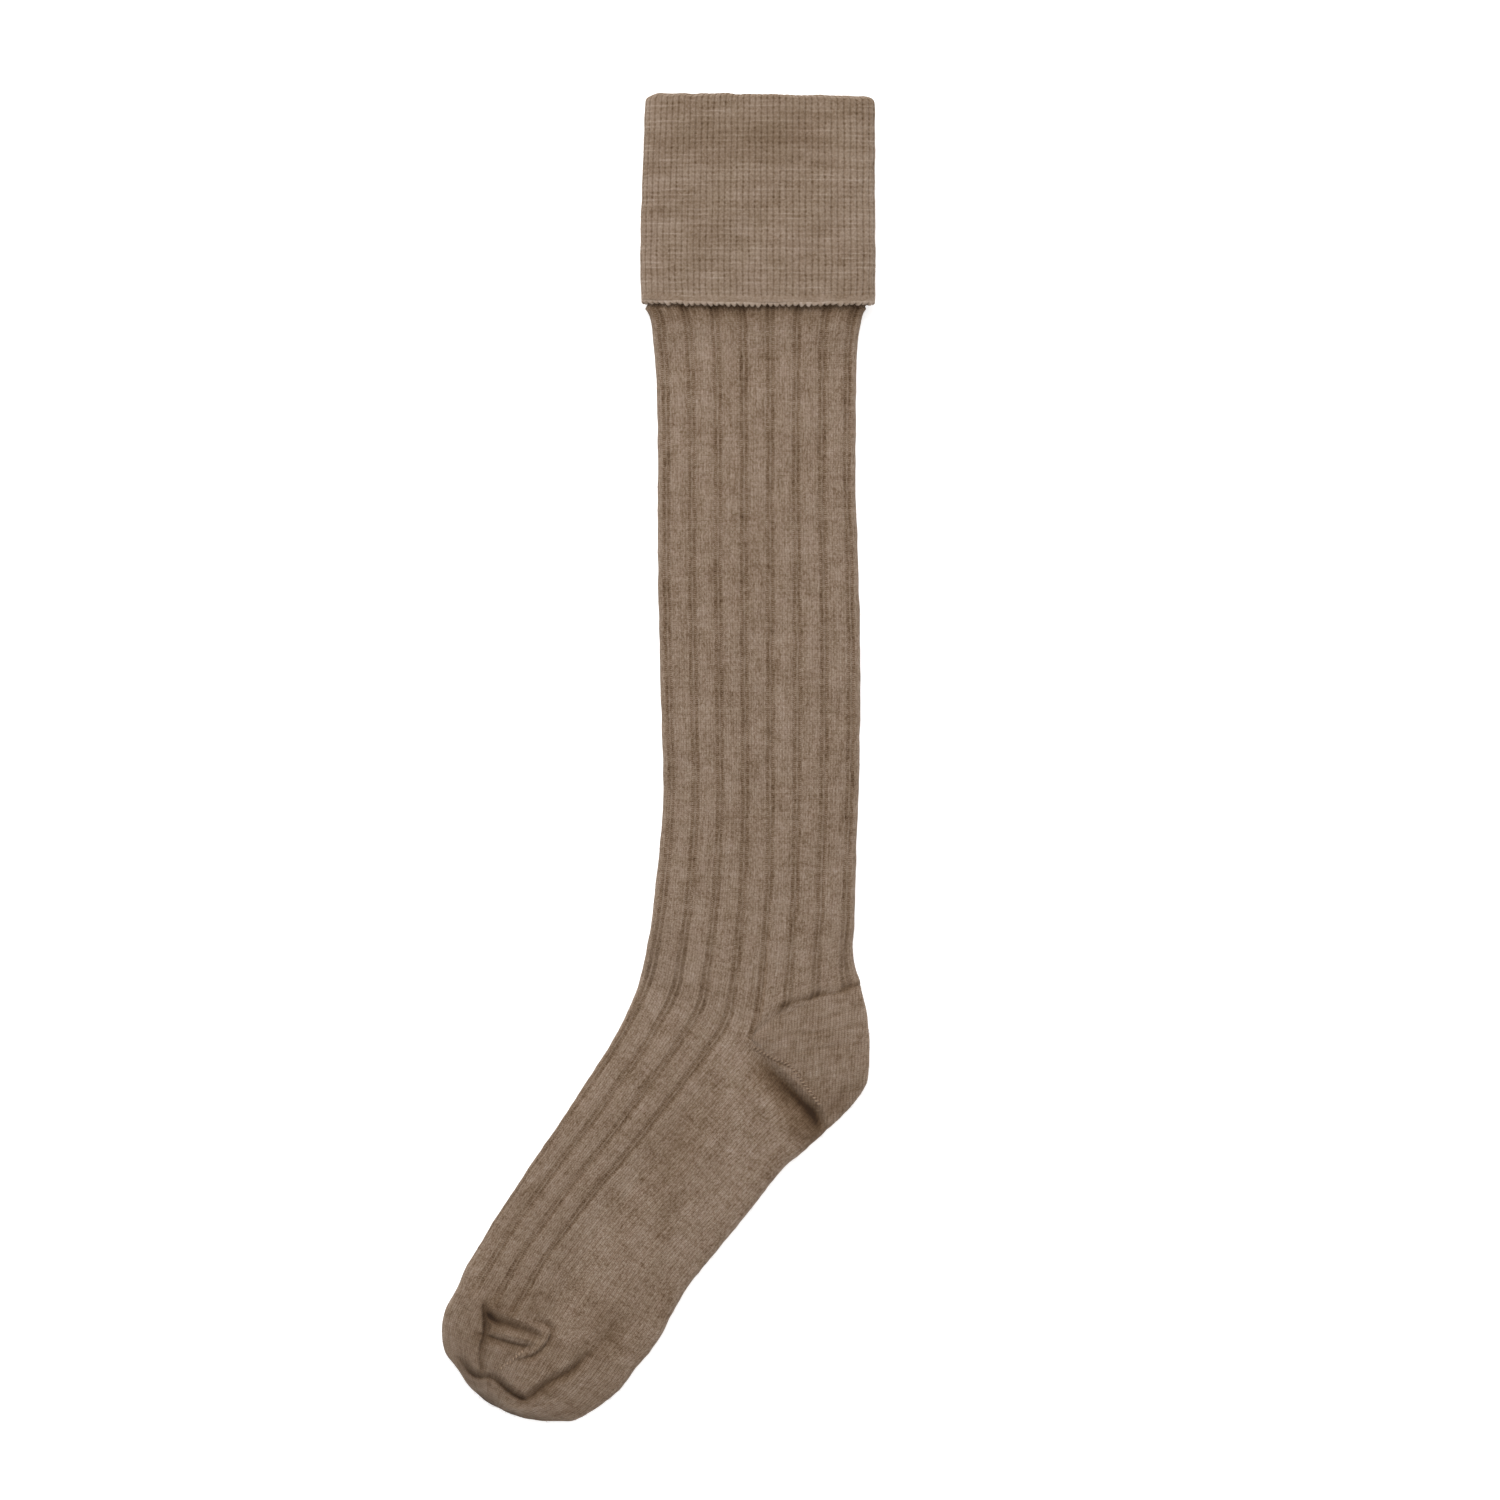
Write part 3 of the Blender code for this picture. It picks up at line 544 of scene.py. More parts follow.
def smooth_table(stations, values, wanted):
    """Values at wanted stations on a smooth curve through a table's rows."""
    stations = np.asarray(stations, float)
    values = np.asarray(values, float)
    wanted = np.asarray(wanted, float)
    slopes = np.gradient(values, stations, axis=0)
    low = np.clip(np.searchsorted(stations, wanted, side="right") - 1, 0, len(stations) - 2)
    span = stations[low + 1] - stations[low]
    share = (wanted - stations[low]) / span
    if values.ndim > 1:
        span, share = span[:, None], share[:, None]
    a = values[low] * (1 + 2 * share) * (1 - share) ** 2
    b = slopes[low] * span * share * (1 - share) ** 2
    c = values[low + 1] * share**2 * (3 - 2 * share)
    d = slopes[low + 1] * span * share**2 * (share - 1)
    return a + b + c + d


def step_down(heading, distance):
    turn = np.radians(heading)
    return np.array([-np.sin(turn), -np.cos(turn)]) * distance


def arm(turn, sign):
    """The way an arm points from its side point: sign is -1 to the front and 1 to the back."""
    rise = np.radians(turn)
    return np.array([sign * np.cos(rise), np.sin(rise)])


def side_points(rows, length, start, last_heading=None):
    """Side points of a table's rows, each one a step on from the row above it."""
    points = [np.asarray(start, float)]
    for above, below in zip(rows, rows[1:]):
        points.append(points[-1] + step_down(below.heading, (below.along - above.along) * length))
    if last_heading is not None:
        points.append(points[-1] + step_down(last_heading, (1.0 - rows[-1].along) * length))
    return np.array(points)


LEG_SIDES = side_points(LEG_ROWS, LEG_LENGTH, TOP_SIDE, ANKLE_HEADING)
FOOT_START = FootRow(0.0, 0.0, ANKLE_FRONT_TURN, ANKLE_FRONT * LEG_WIDTH / FOOT_WIDTH,
                     HEEL_ROWS[-1].turn, HEEL_ROWS[-1].reach * HEEL_RADIUS / FOOT_WIDTH, 1.0)
FOOT_TABLE = (FOOT_START,) + FOOT_ROWS
FOOT_SIDES = side_points(FOOT_TABLE, FOOT_LENGTH, LEG_SIDES[-1])
TOE_LINE = FOOT_SIDES[-1]

# The side points and front arms run on from the leg into the foot, by distance from the top fold.
PATH = np.append(column(LEG_ROWS, "along") * LEG_LENGTH,
                 LEG_LENGTH + column(FOOT_TABLE, "along") * FOOT_LENGTH)
PATH_SIDES = np.concatenate([LEG_SIDES[:-1], FOOT_SIDES])
PATH_FRONT_TURNS = np.append(column(LEG_ROWS, "front_turn"), column(FOOT_TABLE, "front_turn"))
PATH_FRONTS = np.append(column(LEG_ROWS, "front") * LEG_WIDTH, column(FOOT_TABLE, "front") * FOOT_WIDTH)


def front_arms(distances):
    """Side points and front arms, each the mean of a short run of the path."""
    reach = np.minimum(np.minimum(distances, PATH[-1] - distances) / PATH_BLUR[-1], 1.0)
    found = []
    for values in (PATH_SIDES, PATH_FRONT_TURNS, PATH_FRONTS):
        near = [smooth_table(PATH, values, distances + reach * step) for step in PATH_BLUR]
        found.append(np.mean(near, axis=0))
    return dict(zip(("side", "front_turn", "front"), found))


ANKLE_ARMS = front_arms(np.array([LEG_LENGTH]))
ANKLE = ANKLE_ARMS["side"][0]


def flare(distances):
    """0 to 1: how much the leg stands out, most at the hem's lower end."""
    rise = eased((distances - CUFF_DEPTH) / HEM_DEPTH)
    return rise * np.exp(-np.clip(distances - CUFF_DEPTH - HEM_DEPTH, 0.0, None) / FLARE_LENGTH)


def leg_lift(distance):
    """How far the band under the leg holds it up."""
    settled = eased((distance - CUFF_DEPTH - HEM_DEPTH) / SETTLE)
    return (CUFF_WALL + CUFF_GAP) * (1.0 - settled)


def sections(count, **fields):
    """Sections whose fields are a value for each one, or one number for all of them."""
    fields = {"bow": 0.0, "lift": 0.0, "edge": EDGE_RADIUS, **fields}
    return Rows(**{name: value if np.ndim(value) else np.full(count, float(value))
                   for name, value in fields.items()})


def leg_sections(distances):
    distances = np.asarray(distances, float)
    stations = np.append(column(LEG_ROWS, "along"), 1.0) * LEG_LENGTH

    def of(name, at_ankle, size=1.0):
        values = np.append(column(LEG_ROWS, name) * size, at_ankle)
        return smooth_table(stations, values, distances)

    last_run = (distances / LEG_LENGTH - LEG_ROWS[-1].along) / (1.0 - LEG_ROWS[-1].along)
    arms = front_arms(distances)
    arms["front"] += FLARE_FRONT * flare(distances)
    return sections(
        len(distances),
        **arms,
        back_turn=of("back_turn", HEEL_ROWS[0].turn),
        back=of("back", HEEL_ROWS[0].reach * HEEL_RADIUS, LEG_WIDTH) + FLARE_BACK * flare(distances),
        bow=eased(last_run) * HEEL_TOP_BOW * HEEL_RADIUS,
        lift=leg_lift(distances),
        loft=of("loft", LOFT, LOFT),
    )


def heel_sections(shares):
    """The heel's arms, at shares of its sweep from the leg round to the foot."""
    turns = column(HEEL_ROWS, "turn")
    stations = (turns[0] - turns) / (turns[0] - turns[-1])

    def of(name):
        return smooth_table(stations, column(HEEL_ROWS, name), shares)

    return sections(
        len(shares),
        side=np.tile(ANKLE, (len(shares), 1)),
        front_turn=ANKLE_ARMS["front_turn"][0],
        front=ANKLE_ARMS["front"][0],
        back_turn=of("turn"),
        back=of("reach") * HEEL_RADIUS,
        bow=of("bow") * HEEL_TOP_BOW * HEEL_RADIUS,
        loft=of("loft") * LOFT,
    )


def foot_sections(distances):
    distances = np.asarray(distances, float)
    stations = column(FOOT_TABLE, "along") * FOOT_LENGTH

    def of(name, size=1.0):
        return smooth_table(stations, column(FOOT_TABLE, name) * size, distances)

    return sections(
        len(distances),
        **front_arms(LEG_LENGTH + distances),
        back_turn=of("back_turn"),
        back=of("back", FOOT_WIDTH),
        loft=of("loft", LOFT),
    )


def toe_sections(distances):
    """The toe's sections. Close to its tip they close up in a round edge."""
    distances = np.asarray(distances, float)
    line = FOOT_TABLE[-1]
    share = distances / TOE_DEPTH
    width = (1.0 - share**TOE_EXPONENT) ** (1.0 / TOE_EXPONENT)
    crown = 1.0 - share**TOE_CROWN_EXPONENT
    to_tip = np.clip((TOE_DEPTH - distances) / EDGE_RADIUS, 0.0, 1.0)
    round_tip = np.sqrt(1.0 - (1.0 - to_tip) ** 2)
    return sections(
        len(distances),
        side=TOE_LINE + distances[:, None] * step_down(TOE_HEADING, 1.0),
        front_turn=line.front_turn,
        front=line.front * FOOT_WIDTH * width,
        back_turn=line.back_turn,
        back=line.back * FOOT_WIDTH * width,
        lift=EDGE_RADIUS * (1.0 - round_tip),
        loft=(2 * EDGE_RADIUS + (LOFT - 2 * EDGE_RADIUS) * crown) * round_tip,
    )


def shrunk(rows, by):
    """Sections moved in from their outline by a distance, or out where it is negative."""
    by = np.asarray(by, float)
    return rows._replace(front=rows.front - by, back=rows.back - by, lift=rows.lift + by,
                         loft=rows.loft - 2 * by, edge=rows.edge - by)


def lowered(rows, by):
    return rows._replace(side=rows.side + np.asarray(by, float)[:, None] * step_down(0.0, 1.0))


def corner_inset(distances):
    """How far the band's two top corners are rounded in."""
    above = np.clip(1.0 - distances / CORNER_RADIUS, 0.0, 1.0)
    return CORNER_RADIUS * (1.0 - np.sqrt(1.0 - above**2))


def band_sections(distances):
    """The outer skin of the turned-down band, and below it of its hem."""
    distances = np.asarray(distances, float)
    share = np.clip(distances / CUFF_DEPTH, 0.0, 1.0)
    band = shrunk(leg_sections(np.minimum(distances, CUFF_DEPTH)), -(CUFF_WALL + CUFF_GAP))
    band = lowered(band, np.maximum(distances - CUFF_DEPTH, 0.0))
    corner = corner_inset(distances)

    def wider(name):
        rows = column(CUFF_ROWS, name)
        more = smooth_table(column(CUFF_ROWS, "along"), rows, share) * LEG_WIDTH
        return getattr(band, name) + more - corner

    return band._replace(front=wider("front"), back=wider("back"), lift=0.0 * share)


def face_curve(front, back, edge, loft, lift, upper):
    """Places across and heights of one face, from the front edge to the back edge."""
    radius = min(edge, loft / 2, front, back)
    middle = lift + radius
    turn = np.radians(np.linspace(0.0, 90.0, CORNER_POINTS))[:-1]
    corner = radius * (1.0 - np.cos(turn))
    share = np.linspace(0.0, 1.0, FACE_POINTS)
    rise = (loft - 2 * radius) * np.sin(math.pi * share) ** CROWN_EXPONENT if upper else 0.0 * share
    sign = 1.0 if upper else -1.0
    across = np.concatenate([
        corner - front,
        radius - front + (front + back - 2 * radius) * share,
        back - corner[::-1],
    ])
    height = np.concatenate([
        middle + sign * radius * np.sin(turn),
        middle + sign * radius + rise,
        middle + sign * radius * np.sin(turn[::-1]),
    ])
    return across, height


def skin(rows, wales):
    """Points of the skin, a row for each section and a column for each wale, from the front edge.

    wales holds a value for each column, or a row of them for each section.
    """
    count = len(rows.front)
    wales = np.broadcast_to(np.asarray(wales, float), (count, np.shape(wales)[-1])) % ROUND_WALES
    points = np.zeros(wales.shape + (3,))
    for r in range(count):
        for upper in (True, False):
            chosen = (wales[r] <= FACE_WALES) == upper
            on_face = wales[r][chosen] if upper else ROUND_WALES - wales[r][chosen]
            across, height = face_curve(
                rows.front[r], rows.back[r], rows.edge[r], rows.loft[r], rows.lift[r], upper)
            lengths = np.append(0.0, np.cumsum(np.hypot(np.diff(across), np.diff(height))))
            side = np.interp(0.0, across, lengths)
            wanted = np.interp(on_face, (0.0, FRONT_WALES, FACE_WALES), (0.0, side, lengths[-1]))
            out = np.interp(wanted, lengths, across)
            front = arm(rows.front_turn[r], -1) * -np.minimum(out, 0.0)[:, None]
            back_way = arm(rows.back_turn[r], 1)
            share = np.clip(out / rows.back[r], 0.0, 1.0)
            bow = rows.bow[r] * BOW_PEAK * np.sqrt(share) * (1.0 - share)
            up = np.array([-back_way[1], back_way[0]])
            back = back_way * np.maximum(out, 0.0)[:, None] + up * bow[:, None]
            points[r, chosen, :2] = rows.side[r] + front + back
            points[r, chosen, 2] = np.interp(wanted, lengths, height)
    return points


def nudged(points):
    """The points with the small moves that bring the outline to the photo's."""
    moved = points.copy()
    for nudge in NUDGES:
        centre = place(nudge.x, nudge.y)
        away = np.linalg.norm(points[:, :, :2] - centre, axis=2) / (nudge.reach * PIXEL)
        moved[:, :, :2] += bell(away)[:, :, None] * np.array([nudge.right, -nudge.down]) * PIXEL
    return swayed(moved)


def swayed(points):
    """The points with the cloth's small sideways waves, the same for all pieces."""
    moved = points.copy()
    for wave in SWAYS:
        angle = wave_angle(wave, points)
        moved[:, :, 0] += wave.height * np.sin(angle)
        moved[:, :, 1] += wave.height * np.cos(SWAY_RATIO * angle)
    return moved


def grid_normals(points, closed):
    """Outward normals of a grid whose rows go down the sock and columns over the upper face."""
    down = np.gradient(points, axis=0)
    if closed:
        over = np.roll(points, -1, axis=1) - np.roll(points, 1, axis=1)
    else:
        over = np.gradient(points, axis=1)
    normals = np.cross(down, over)
    return normals / np.maximum(np.linalg.norm(normals, axis=2, keepdims=True), 1e-15)


def smooth_line(line):
    """A crease's line as many short straight runs: places in metres and shares of the depth."""
    line = np.array(line, float)
    knots = np.append(0.0, np.cumsum(np.hypot(*np.diff(line[:, :2], axis=0).T)))
    fine = smooth_table(knots, line, np.linspace(0.0, knots[-1], CREASE_FINENESS * len(line)))
    return place(fine[:, 0], fine[:, 1]).T, np.clip(fine[:, 2], 0.0, None)


def crease_share(crease, flat):
    """The share of a crease's depth at each of many places."""
    line, shares = smooth_line(crease.line)
    start, run = line[:-1], np.diff(line, axis=0)
    reach = max(crease.left, crease.right)
    found = np.zeros(len(flat))
    inside = np.all((flat > line.min(0) - reach) & (flat < line.max(0) + reach), axis=1)
    if not inside.any():
        return found
    offset = flat[inside][:, None, :] - start[None]
    along = np.clip((offset * run).sum(2) / (run * run).sum(1), 0.0, 1.0)
    away = offset - along[:, :, None] * run
    distance = np.hypot(away[:, :, 0], away[:, :, 1])
    nearest = distance.argmin(1)
    pick = np.arange(len(nearest))
    turned = run[nearest, 0] * offset[pick, nearest, 1] - run[nearest, 1] * offset[pick, nearest, 0]
    width = np.where(turned > 0, crease.left, crease.right)
    share = shares[nearest] + (shares[nearest + 1] - shares[nearest]) * along[pick, nearest]
    near = np.clip(1.0 - distance[pick, nearest] / width, 0.0, 1.0)
    found[inside] = share * near**CREASE_EXPONENT * (1.5 - 0.5 * near)
    return found


def creases_at(flat):
    """Depth and shade of all creases at each of many places on the upper face."""
    depth = np.zeros(len(flat))
    rise = np.zeros(len(flat))
    shade = np.zeros(len(flat))
    light = np.zeros(len(flat))
    for crease in CREASES:
        share = crease_share(crease, flat)
        if crease.depth > 0:
            depth = np.maximum(depth, crease.depth * share)
            shade = np.maximum(shade, crease.shade * share)
        else:
            rise -= crease.depth * share
            light += crease.shade * share
    return depth - rise, shade + light


def shade_patches_at(flat):
    """Shade of the soft patches at each of many places, painted shade in folds and below the hem."""
    shade = np.zeros(len(flat))
    for shade_patch in SHADE_PATCHES:
        away = (flat - place(shade_patch.x, shade_patch.y)) / (np.array([shade_patch.wide, shade_patch.tall]) * PIXEL)
        shade += shade_patch.shade * np.exp(-(away**2).sum(1))
    return shade


def slack(flat):
    """Low waves over the upper face."""
    total = np.zeros(len(flat))
    for wave in WAVES:
        total += wave.height * np.sin(wave_angle(wave, flat))
    return total


def from_groove(wales):
    """Wales from the middle of the nearest groove between ribs."""
    half = RIB_WALES / 2
    return np.abs((wales - FIRST_GROOVE + half) % RIB_WALES - half)


def stitch_columns(wales):
    """The wales counted as whole stitches from a groove's edge, of which purl ones are wider."""
    start = wales - FIRST_GROOVE + GROOVE_EDGE
    rib = np.floor(start / RIB_WALES)
    ends = (0.0, *PURL_ENDS, 2 * GROOVE_EDGE, RIB_WALES)
    counts = (0.0, 1.0, 2.0, 3.0, RIB_WALES)
    return rib * RIB_WALES + np.interp(start - rib * RIB_WALES, ends, counts)


def ribbed_columns(ribs):
    """Places of the mesh's columns over ribs: close together in the grooves."""
    groove = np.arange(-GROOVE_EDGE, GROOVE_EDGE - GROOVE_STEP / 4, GROOVE_STEP)
    plateau = np.linspace(GROOVE_EDGE, RIB_WALES - GROOVE_EDGE, 2 * PLATEAU_COLUMNS + 1)[:-1]
    offsets = np.append(groove, plateau)
    return np.concatenate([FIRST_GROOVE + rib * RIB_WALES + offsets for rib in ribs])


def wale_relief(columns, depth=WALE_DEPTH):
    """The shallow valley between two columns of stitches."""
    return depth * (0.5 + 0.5 * np.cos(2 * math.pi * columns))


def groove(wales, dip, purl):
    """A groove between ribs: a broad dip, and two purl lines in it, each of a strength."""
    at = from_groove(wales)
    return dip * bell(at / GROOVE_WIDTH) + purl * bell((at - PURL_PLACE) / PURL_WIDTH)


class Cloth:
    """A grid of cloth: its base points, and the wale, course and shade at each of them.

    Its rows go down the sock and its columns from the front edge over the upper face.
    """

    def __init__(self, points, wales, courses, upper, closed=True):
        shape = points.shape[:2]
        self.base = points
        self.wales = np.broadcast_to(wales, shape).astype(float)
        self.courses = np.broadcast_to(courses, shape).astype(float)
        self.upper = np.broadcast_to(upper, shape)
        self.closed = closed
        self.shade = np.zeros(shape)
        self.outer = points
        self.find_normals()

    def find_normals(self):
        """Normals of the base points, upright where the grid's corners turn them inside out."""
        self.normals = grid_normals(self.base, self.closed)
        outward = np.where(self.upper, 1.0, -1.0)
        wrong = self.normals[:, :, 2] * outward < WRONG_WAY
        self.normals[wrong] = outward[wrong][:, None] * np.array([0.0, 0.0, 1.0])

    def press(self, creases=True):
        """Presses creases and slack into the upper face."""
        shape = self.base.shape[:2]
        flat = self.base[:, :, :2].reshape(-1, 2)
        drop = -slack(flat).reshape(shape)
        facing = eased((self.normals[:, :, 2] - FACING_START) / FACING_SPAN) * self.upper
        # Painted shade of the soft patches, on faces turned up
        self.shade += shade_patches_at(flat).reshape(shape) * facing
        if creases:
            depth, shade = creases_at(flat)
            drop += depth.reshape(shape) * np.clip(DROP_RISE * self.base[:, :, 2] / LOFT, 0.0, 1.0)
            # Painted shade in the creases, and painted light on their ridges
            self.shade += shade.reshape(shape) * facing
        self.base = self.base - (drop * facing)[:, :, None] * np.array([0.0, 0.0, 1.0])
        self.outer = self.base
        self.find_normals()

    def emboss(self, relief, ribbed=0.0):
        """Sinks the outer skin by a relief. ribbed is 1 where the ribs are worked in full."""
        relief = np.broadcast_to(relief, self.base.shape[:2])
        self.ribbed = np.broadcast_to(ribbed, self.base.shape[:2])
        self.outer = self.base - self.normals * relief[:, :, None]
        self.outer[:, :, 2] = np.maximum(self.outer[:, :, 2], 0.0)


Patch = namedtuple("Patch", "ids wales courses bake_x bake_y")
CLOTHS = {}  # the cloth of each finished piece, for what lies on it


def wrapped(patch, axis, steps):
    """A patch with its first row or column again after the last, each of its values a step on."""
    return Patch(*[np.concatenate([values, np.take(values, [0], axis=axis) + step], axis=axis)
                   for values, step in zip(patch, steps)])


def cloth_piece(name, cloth, wall, every=1, tip=False):
    """A piece of cloth: outer skin, inner skin a wall's thickness in, and rims between them.

    Only every few rows go into the inner skin. With a tip, the last row is closed by a cap.
    """
    count, cols = cloth.base.shape[:2]
    kept = np.unique(np.append(np.arange(0, count, every), count - 1))
    inner = cloth.base[kept] - cloth.normals[kept] * wall
    points = np.concatenate([cloth.outer, inner[::-1]])
    ids = np.arange(points.shape[0] * cols).reshape(-1, cols)
    down = np.concatenate([np.linspace(0.0, BAKE_SKIN, count), np.linspace(*BAKE_INNER, len(kept))])

    def both(values):
        return np.concatenate([values, values[kept][::-1]])

    wales, courses = both(cloth.wales), both(cloth.courses)
    bake_x = np.broadcast_to(np.linspace(0.0, BAKE_WIDTH, cols + 1)[:-1], ids.shape)
    bake_y = np.broadcast_to(down[:, None], ids.shape)
    ring = Patch(ids, wales, courses, bake_x, bake_y)
    if cloth.closed:
        turn = ROUND_WALES * np.sign(cloth.wales[0, -1] - cloth.wales[0, 0])
        ring = wrapped(ring, 1, (0, turn, 0.0, BAKE_WIDTH, 0.0))
    outer = Patch(*[values[:count] for values in ring])
    inner_skin = Patch(*[values[count:] for values in ring])
    top_rim = Patch(*[np.stack([values[-1], values[0]]) for values in ring])
    top_rim.bake_y[:] = np.array([[BAKE_INNER[1]], [1.0]])
    patches = [outer, inner_skin, top_rim]
    caps = [ids[count - 1][::-1], ids[count]] if tip else []
    if not tip:
        patches.append(Patch(*[values[count - 1:count + 1] for values in ring]))
    if not cloth.closed:
        patches += side_rims(ids, cloth, kept, count)
    # Painted shade inside the sock: the inner skin no lighter than the outer skin beside it
    shade = np.concatenate([cloth.shade, np.maximum(INSIDE_SHADE, cloth.shade[kept][::-1])])
    CLOTHS[name] = cloth
    return mesh_piece(name, points, patches, caps, {"shade": shade, "ribbed": both(cloth.ribbed)})


def side_rims(ids, cloth, kept, count):
    """The rims along the first and the last column of a cloth that isn't closed to a tube."""
    rims = []
    inner_ids = ids[count:][::-1]
    for c, sides, low in ((0, (1, 0), BAKE_RIMS[0]), (-1, (0, 1), BAKE_RIMS[1])):
        pair = (ids[kept, c], inner_ids[:, c])
        columns = [pair[side] for side in sides]
        same = np.stack([cloth.wales[kept, c]] * 2, axis=1)
        along = np.stack([cloth.courses[kept, c]] * 2, axis=1)
        bake_x = np.broadcast_to([low, low + BAKE_RIM_WIDTH], same.shape)
        bake_y = np.broadcast_to(np.linspace(0.0, 1.0, len(kept))[:, None], same.shape)
        rims.append(Patch(np.stack(columns, axis=1), same, along, bake_x, bake_y))
    return rims


def corners(values):
    """The values at the four corners of every cell of a grid."""
    cells = [values[:-1, :-1], values[1:, :-1], values[1:, 1:], values[:-1, 1:]]
    return np.stack(cells, axis=-1).reshape(-1, 4)


def mesh_piece(name, points, patches, caps, values):
    """A mesh object from grids of vertex numbers, with its UV maps and a value for each vertex."""
    quads = np.concatenate([corners(patch.ids) for patch in patches]).astype(int)

    def places(across, along):
        pairs = [[corners(getattr(patch, axis)) for axis in (across, along)] for patch in patches]
        return np.concatenate([np.stack(pair, axis=-1) for pair in pairs])

    maps = {"OFBake": places("bake_x", "bake_y"), "Knit": places("wales", "courses")}
    return mesh_from(name, points, quads, caps, maps, values)


def mesh_from(name, points, quads, caps, maps, values):
    """A mesh object from quads and caps. maps has a place for each corner of the quads."""
    loops = np.concatenate([quads.ravel()] + list(caps)).astype(np.int32)
    sizes = [4] * len(quads) + [len(cap) for cap in caps]
    mesh = bpy.data.meshes.new(name)
    points = points.reshape(-1, 3)
    mesh.vertices.add(len(points))
    mesh.vertices.foreach_set("co", points.astype(np.float32).ravel())
    mesh.loops.add(len(loops))
    mesh.loops.foreach_set("vertex_index", loops)
    mesh.polygons.add(len(sizes))
    mesh.polygons.foreach_set("loop_start", np.append(0, np.cumsum(sizes)[:-1]).astype(np.int32))
    mesh.update(calc_edges=True)
    cap_loops = len(loops) - quads.size
    for map_name, places in maps.items():
        flat = np.concatenate([places.reshape(-1, 2), np.zeros((cap_loops, 2))])
        mesh.uv_layers.new(name=map_name).data.foreach_set("uv", flat.astype(np.float32).ravel())
    for value_name, grid in values.items():
        attribute = mesh.attributes.new(value_name, "FLOAT", "POINT")
        attribute.data.foreach_set("value", grid.astype(np.float32).ravel())
    mesh.shade_smooth()
    mesh.set_sharp_from_angle(angle=math.radians(SMOOTH_ANGLE))
    piece = bpy.data.objects.new(name, mesh)
    bpy.context.scene.collection.objects.link(piece)
    return piece


def dress(piece, material, node=None):
    """Gives a piece its material, lets it ride, and puts it in the place of its solid."""
    piece.data.materials.append(material)
    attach(piece, "root")
    if node:
        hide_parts(node)
    return piece


def on_upper_face(wales):
    return wales % ROUND_WALES <= FACE_WALES


def work_ribs(cloth, wales, strength):
    """Sinks the grooves between a cloth's ribs and paints shade into them, by their strength at each
    place.
    """
    relief = groove(wales, GROOVE_DEPTH, PURL_DEPTH) * strength
    cloth.emboss(wale_relief(stitch_columns(wales)) + relief, strength)
    cloth.shade += groove(wales, GROOVE_SHADE, PURL_SHADE) * strength


def make_leg():
    """The ribbed tube. Under the band, where it isn't seen, its rows are far apart."""
    seen = CUFF_DEPTH - LEG_HIDDEN_DEPTH
    hidden = np.linspace(CUFF_LIP + SEAM_GAP, seen, LEG_HIDDEN_ROWS + 1)[:-1]
    distances = np.append(hidden, np.linspace(seen, LEG_LENGTH, LEG_SEEN_ROWS))
    turned = table_value(LEG_TURN, distances / LEG_LENGTH)[:, None]
    sides = np.array([FRONT_WALES, ROUND_WALES - FRONT_WALES]) + LEG_TURN[-1][1]
    wales = np.sort(np.append(ribbed_columns(range(ROUND_WALES // RIB_WALES)), sides))
    on_round = wales - turned
    points = nudged(skin(leg_sections(distances), on_round))
    cloth = Cloth(points, stitch_columns(wales), distances[:, None] / COURSE, on_upper_face(on_round))
    cloth.press()
    to_ankle = (LEG_LENGTH - distances)[:, None]
    side_rib = np.abs(wales[None, :, None] - sides).min(2) < SIDE_RIB_WALES
    back = (wales > sides[0]) & (wales < sides[1])
    faded = eased((to_ankle - SIDE_FADE_END) / (SIDE_FADE_START - SIDE_FADE_END))
    faded = eased(to_ankle / SIDE_FADE) * at_least(SIDE_STRENGTH, faded)
    strength = np.where(side_rib & back, faded, 1.0)
    near_heel = at_least(HEEL_STRENGTH, eased(to_ankle / HEEL_FADE))
    strength = strength * np.where(back, near_heel, 1.0)
    work_ribs(cloth, wales, strength)
    below_hem = np.clip(distances - CUFF_DEPTH - HEM_DEPTH, 0.0, None)[:, None]
    # Painted shadow of the hem on the leg below it
    cloth.shade += HEM_SHADE * bell(below_hem / HEM_SHADE_LENGTH)
    # Painted shade and light in the gathers' fine upright folds
    own = np.random.default_rng(GATHER_SEED).uniform(0.0, 1.0, ROUND_WALES)
    own = own[wales.astype(int) % ROUND_WALES] - GATHER_MIDDLE
    cloth.shade += GATHER_SHADE * own * bell(below_hem / GATHER_LENGTH)
    return cloth_piece("leg_knit", cloth, WALL, every=7)


def foot_columns():
    """Ribs over the instep, as on the leg, then evenly round the sole."""
    turn = FOOT_TURN[0][1]
    instep = ribbed_columns(INSTEP_RIBS)
    instep = instep[np.abs(instep - turn) < FRONT_WALES - GROOVE_STEP / 2]
    sole = np.linspace(turn + FRONT_WALES, ROUND_WALES + turn - FRONT_WALES, SOLE_COLUMNS)
    return np.concatenate([instep, sole])


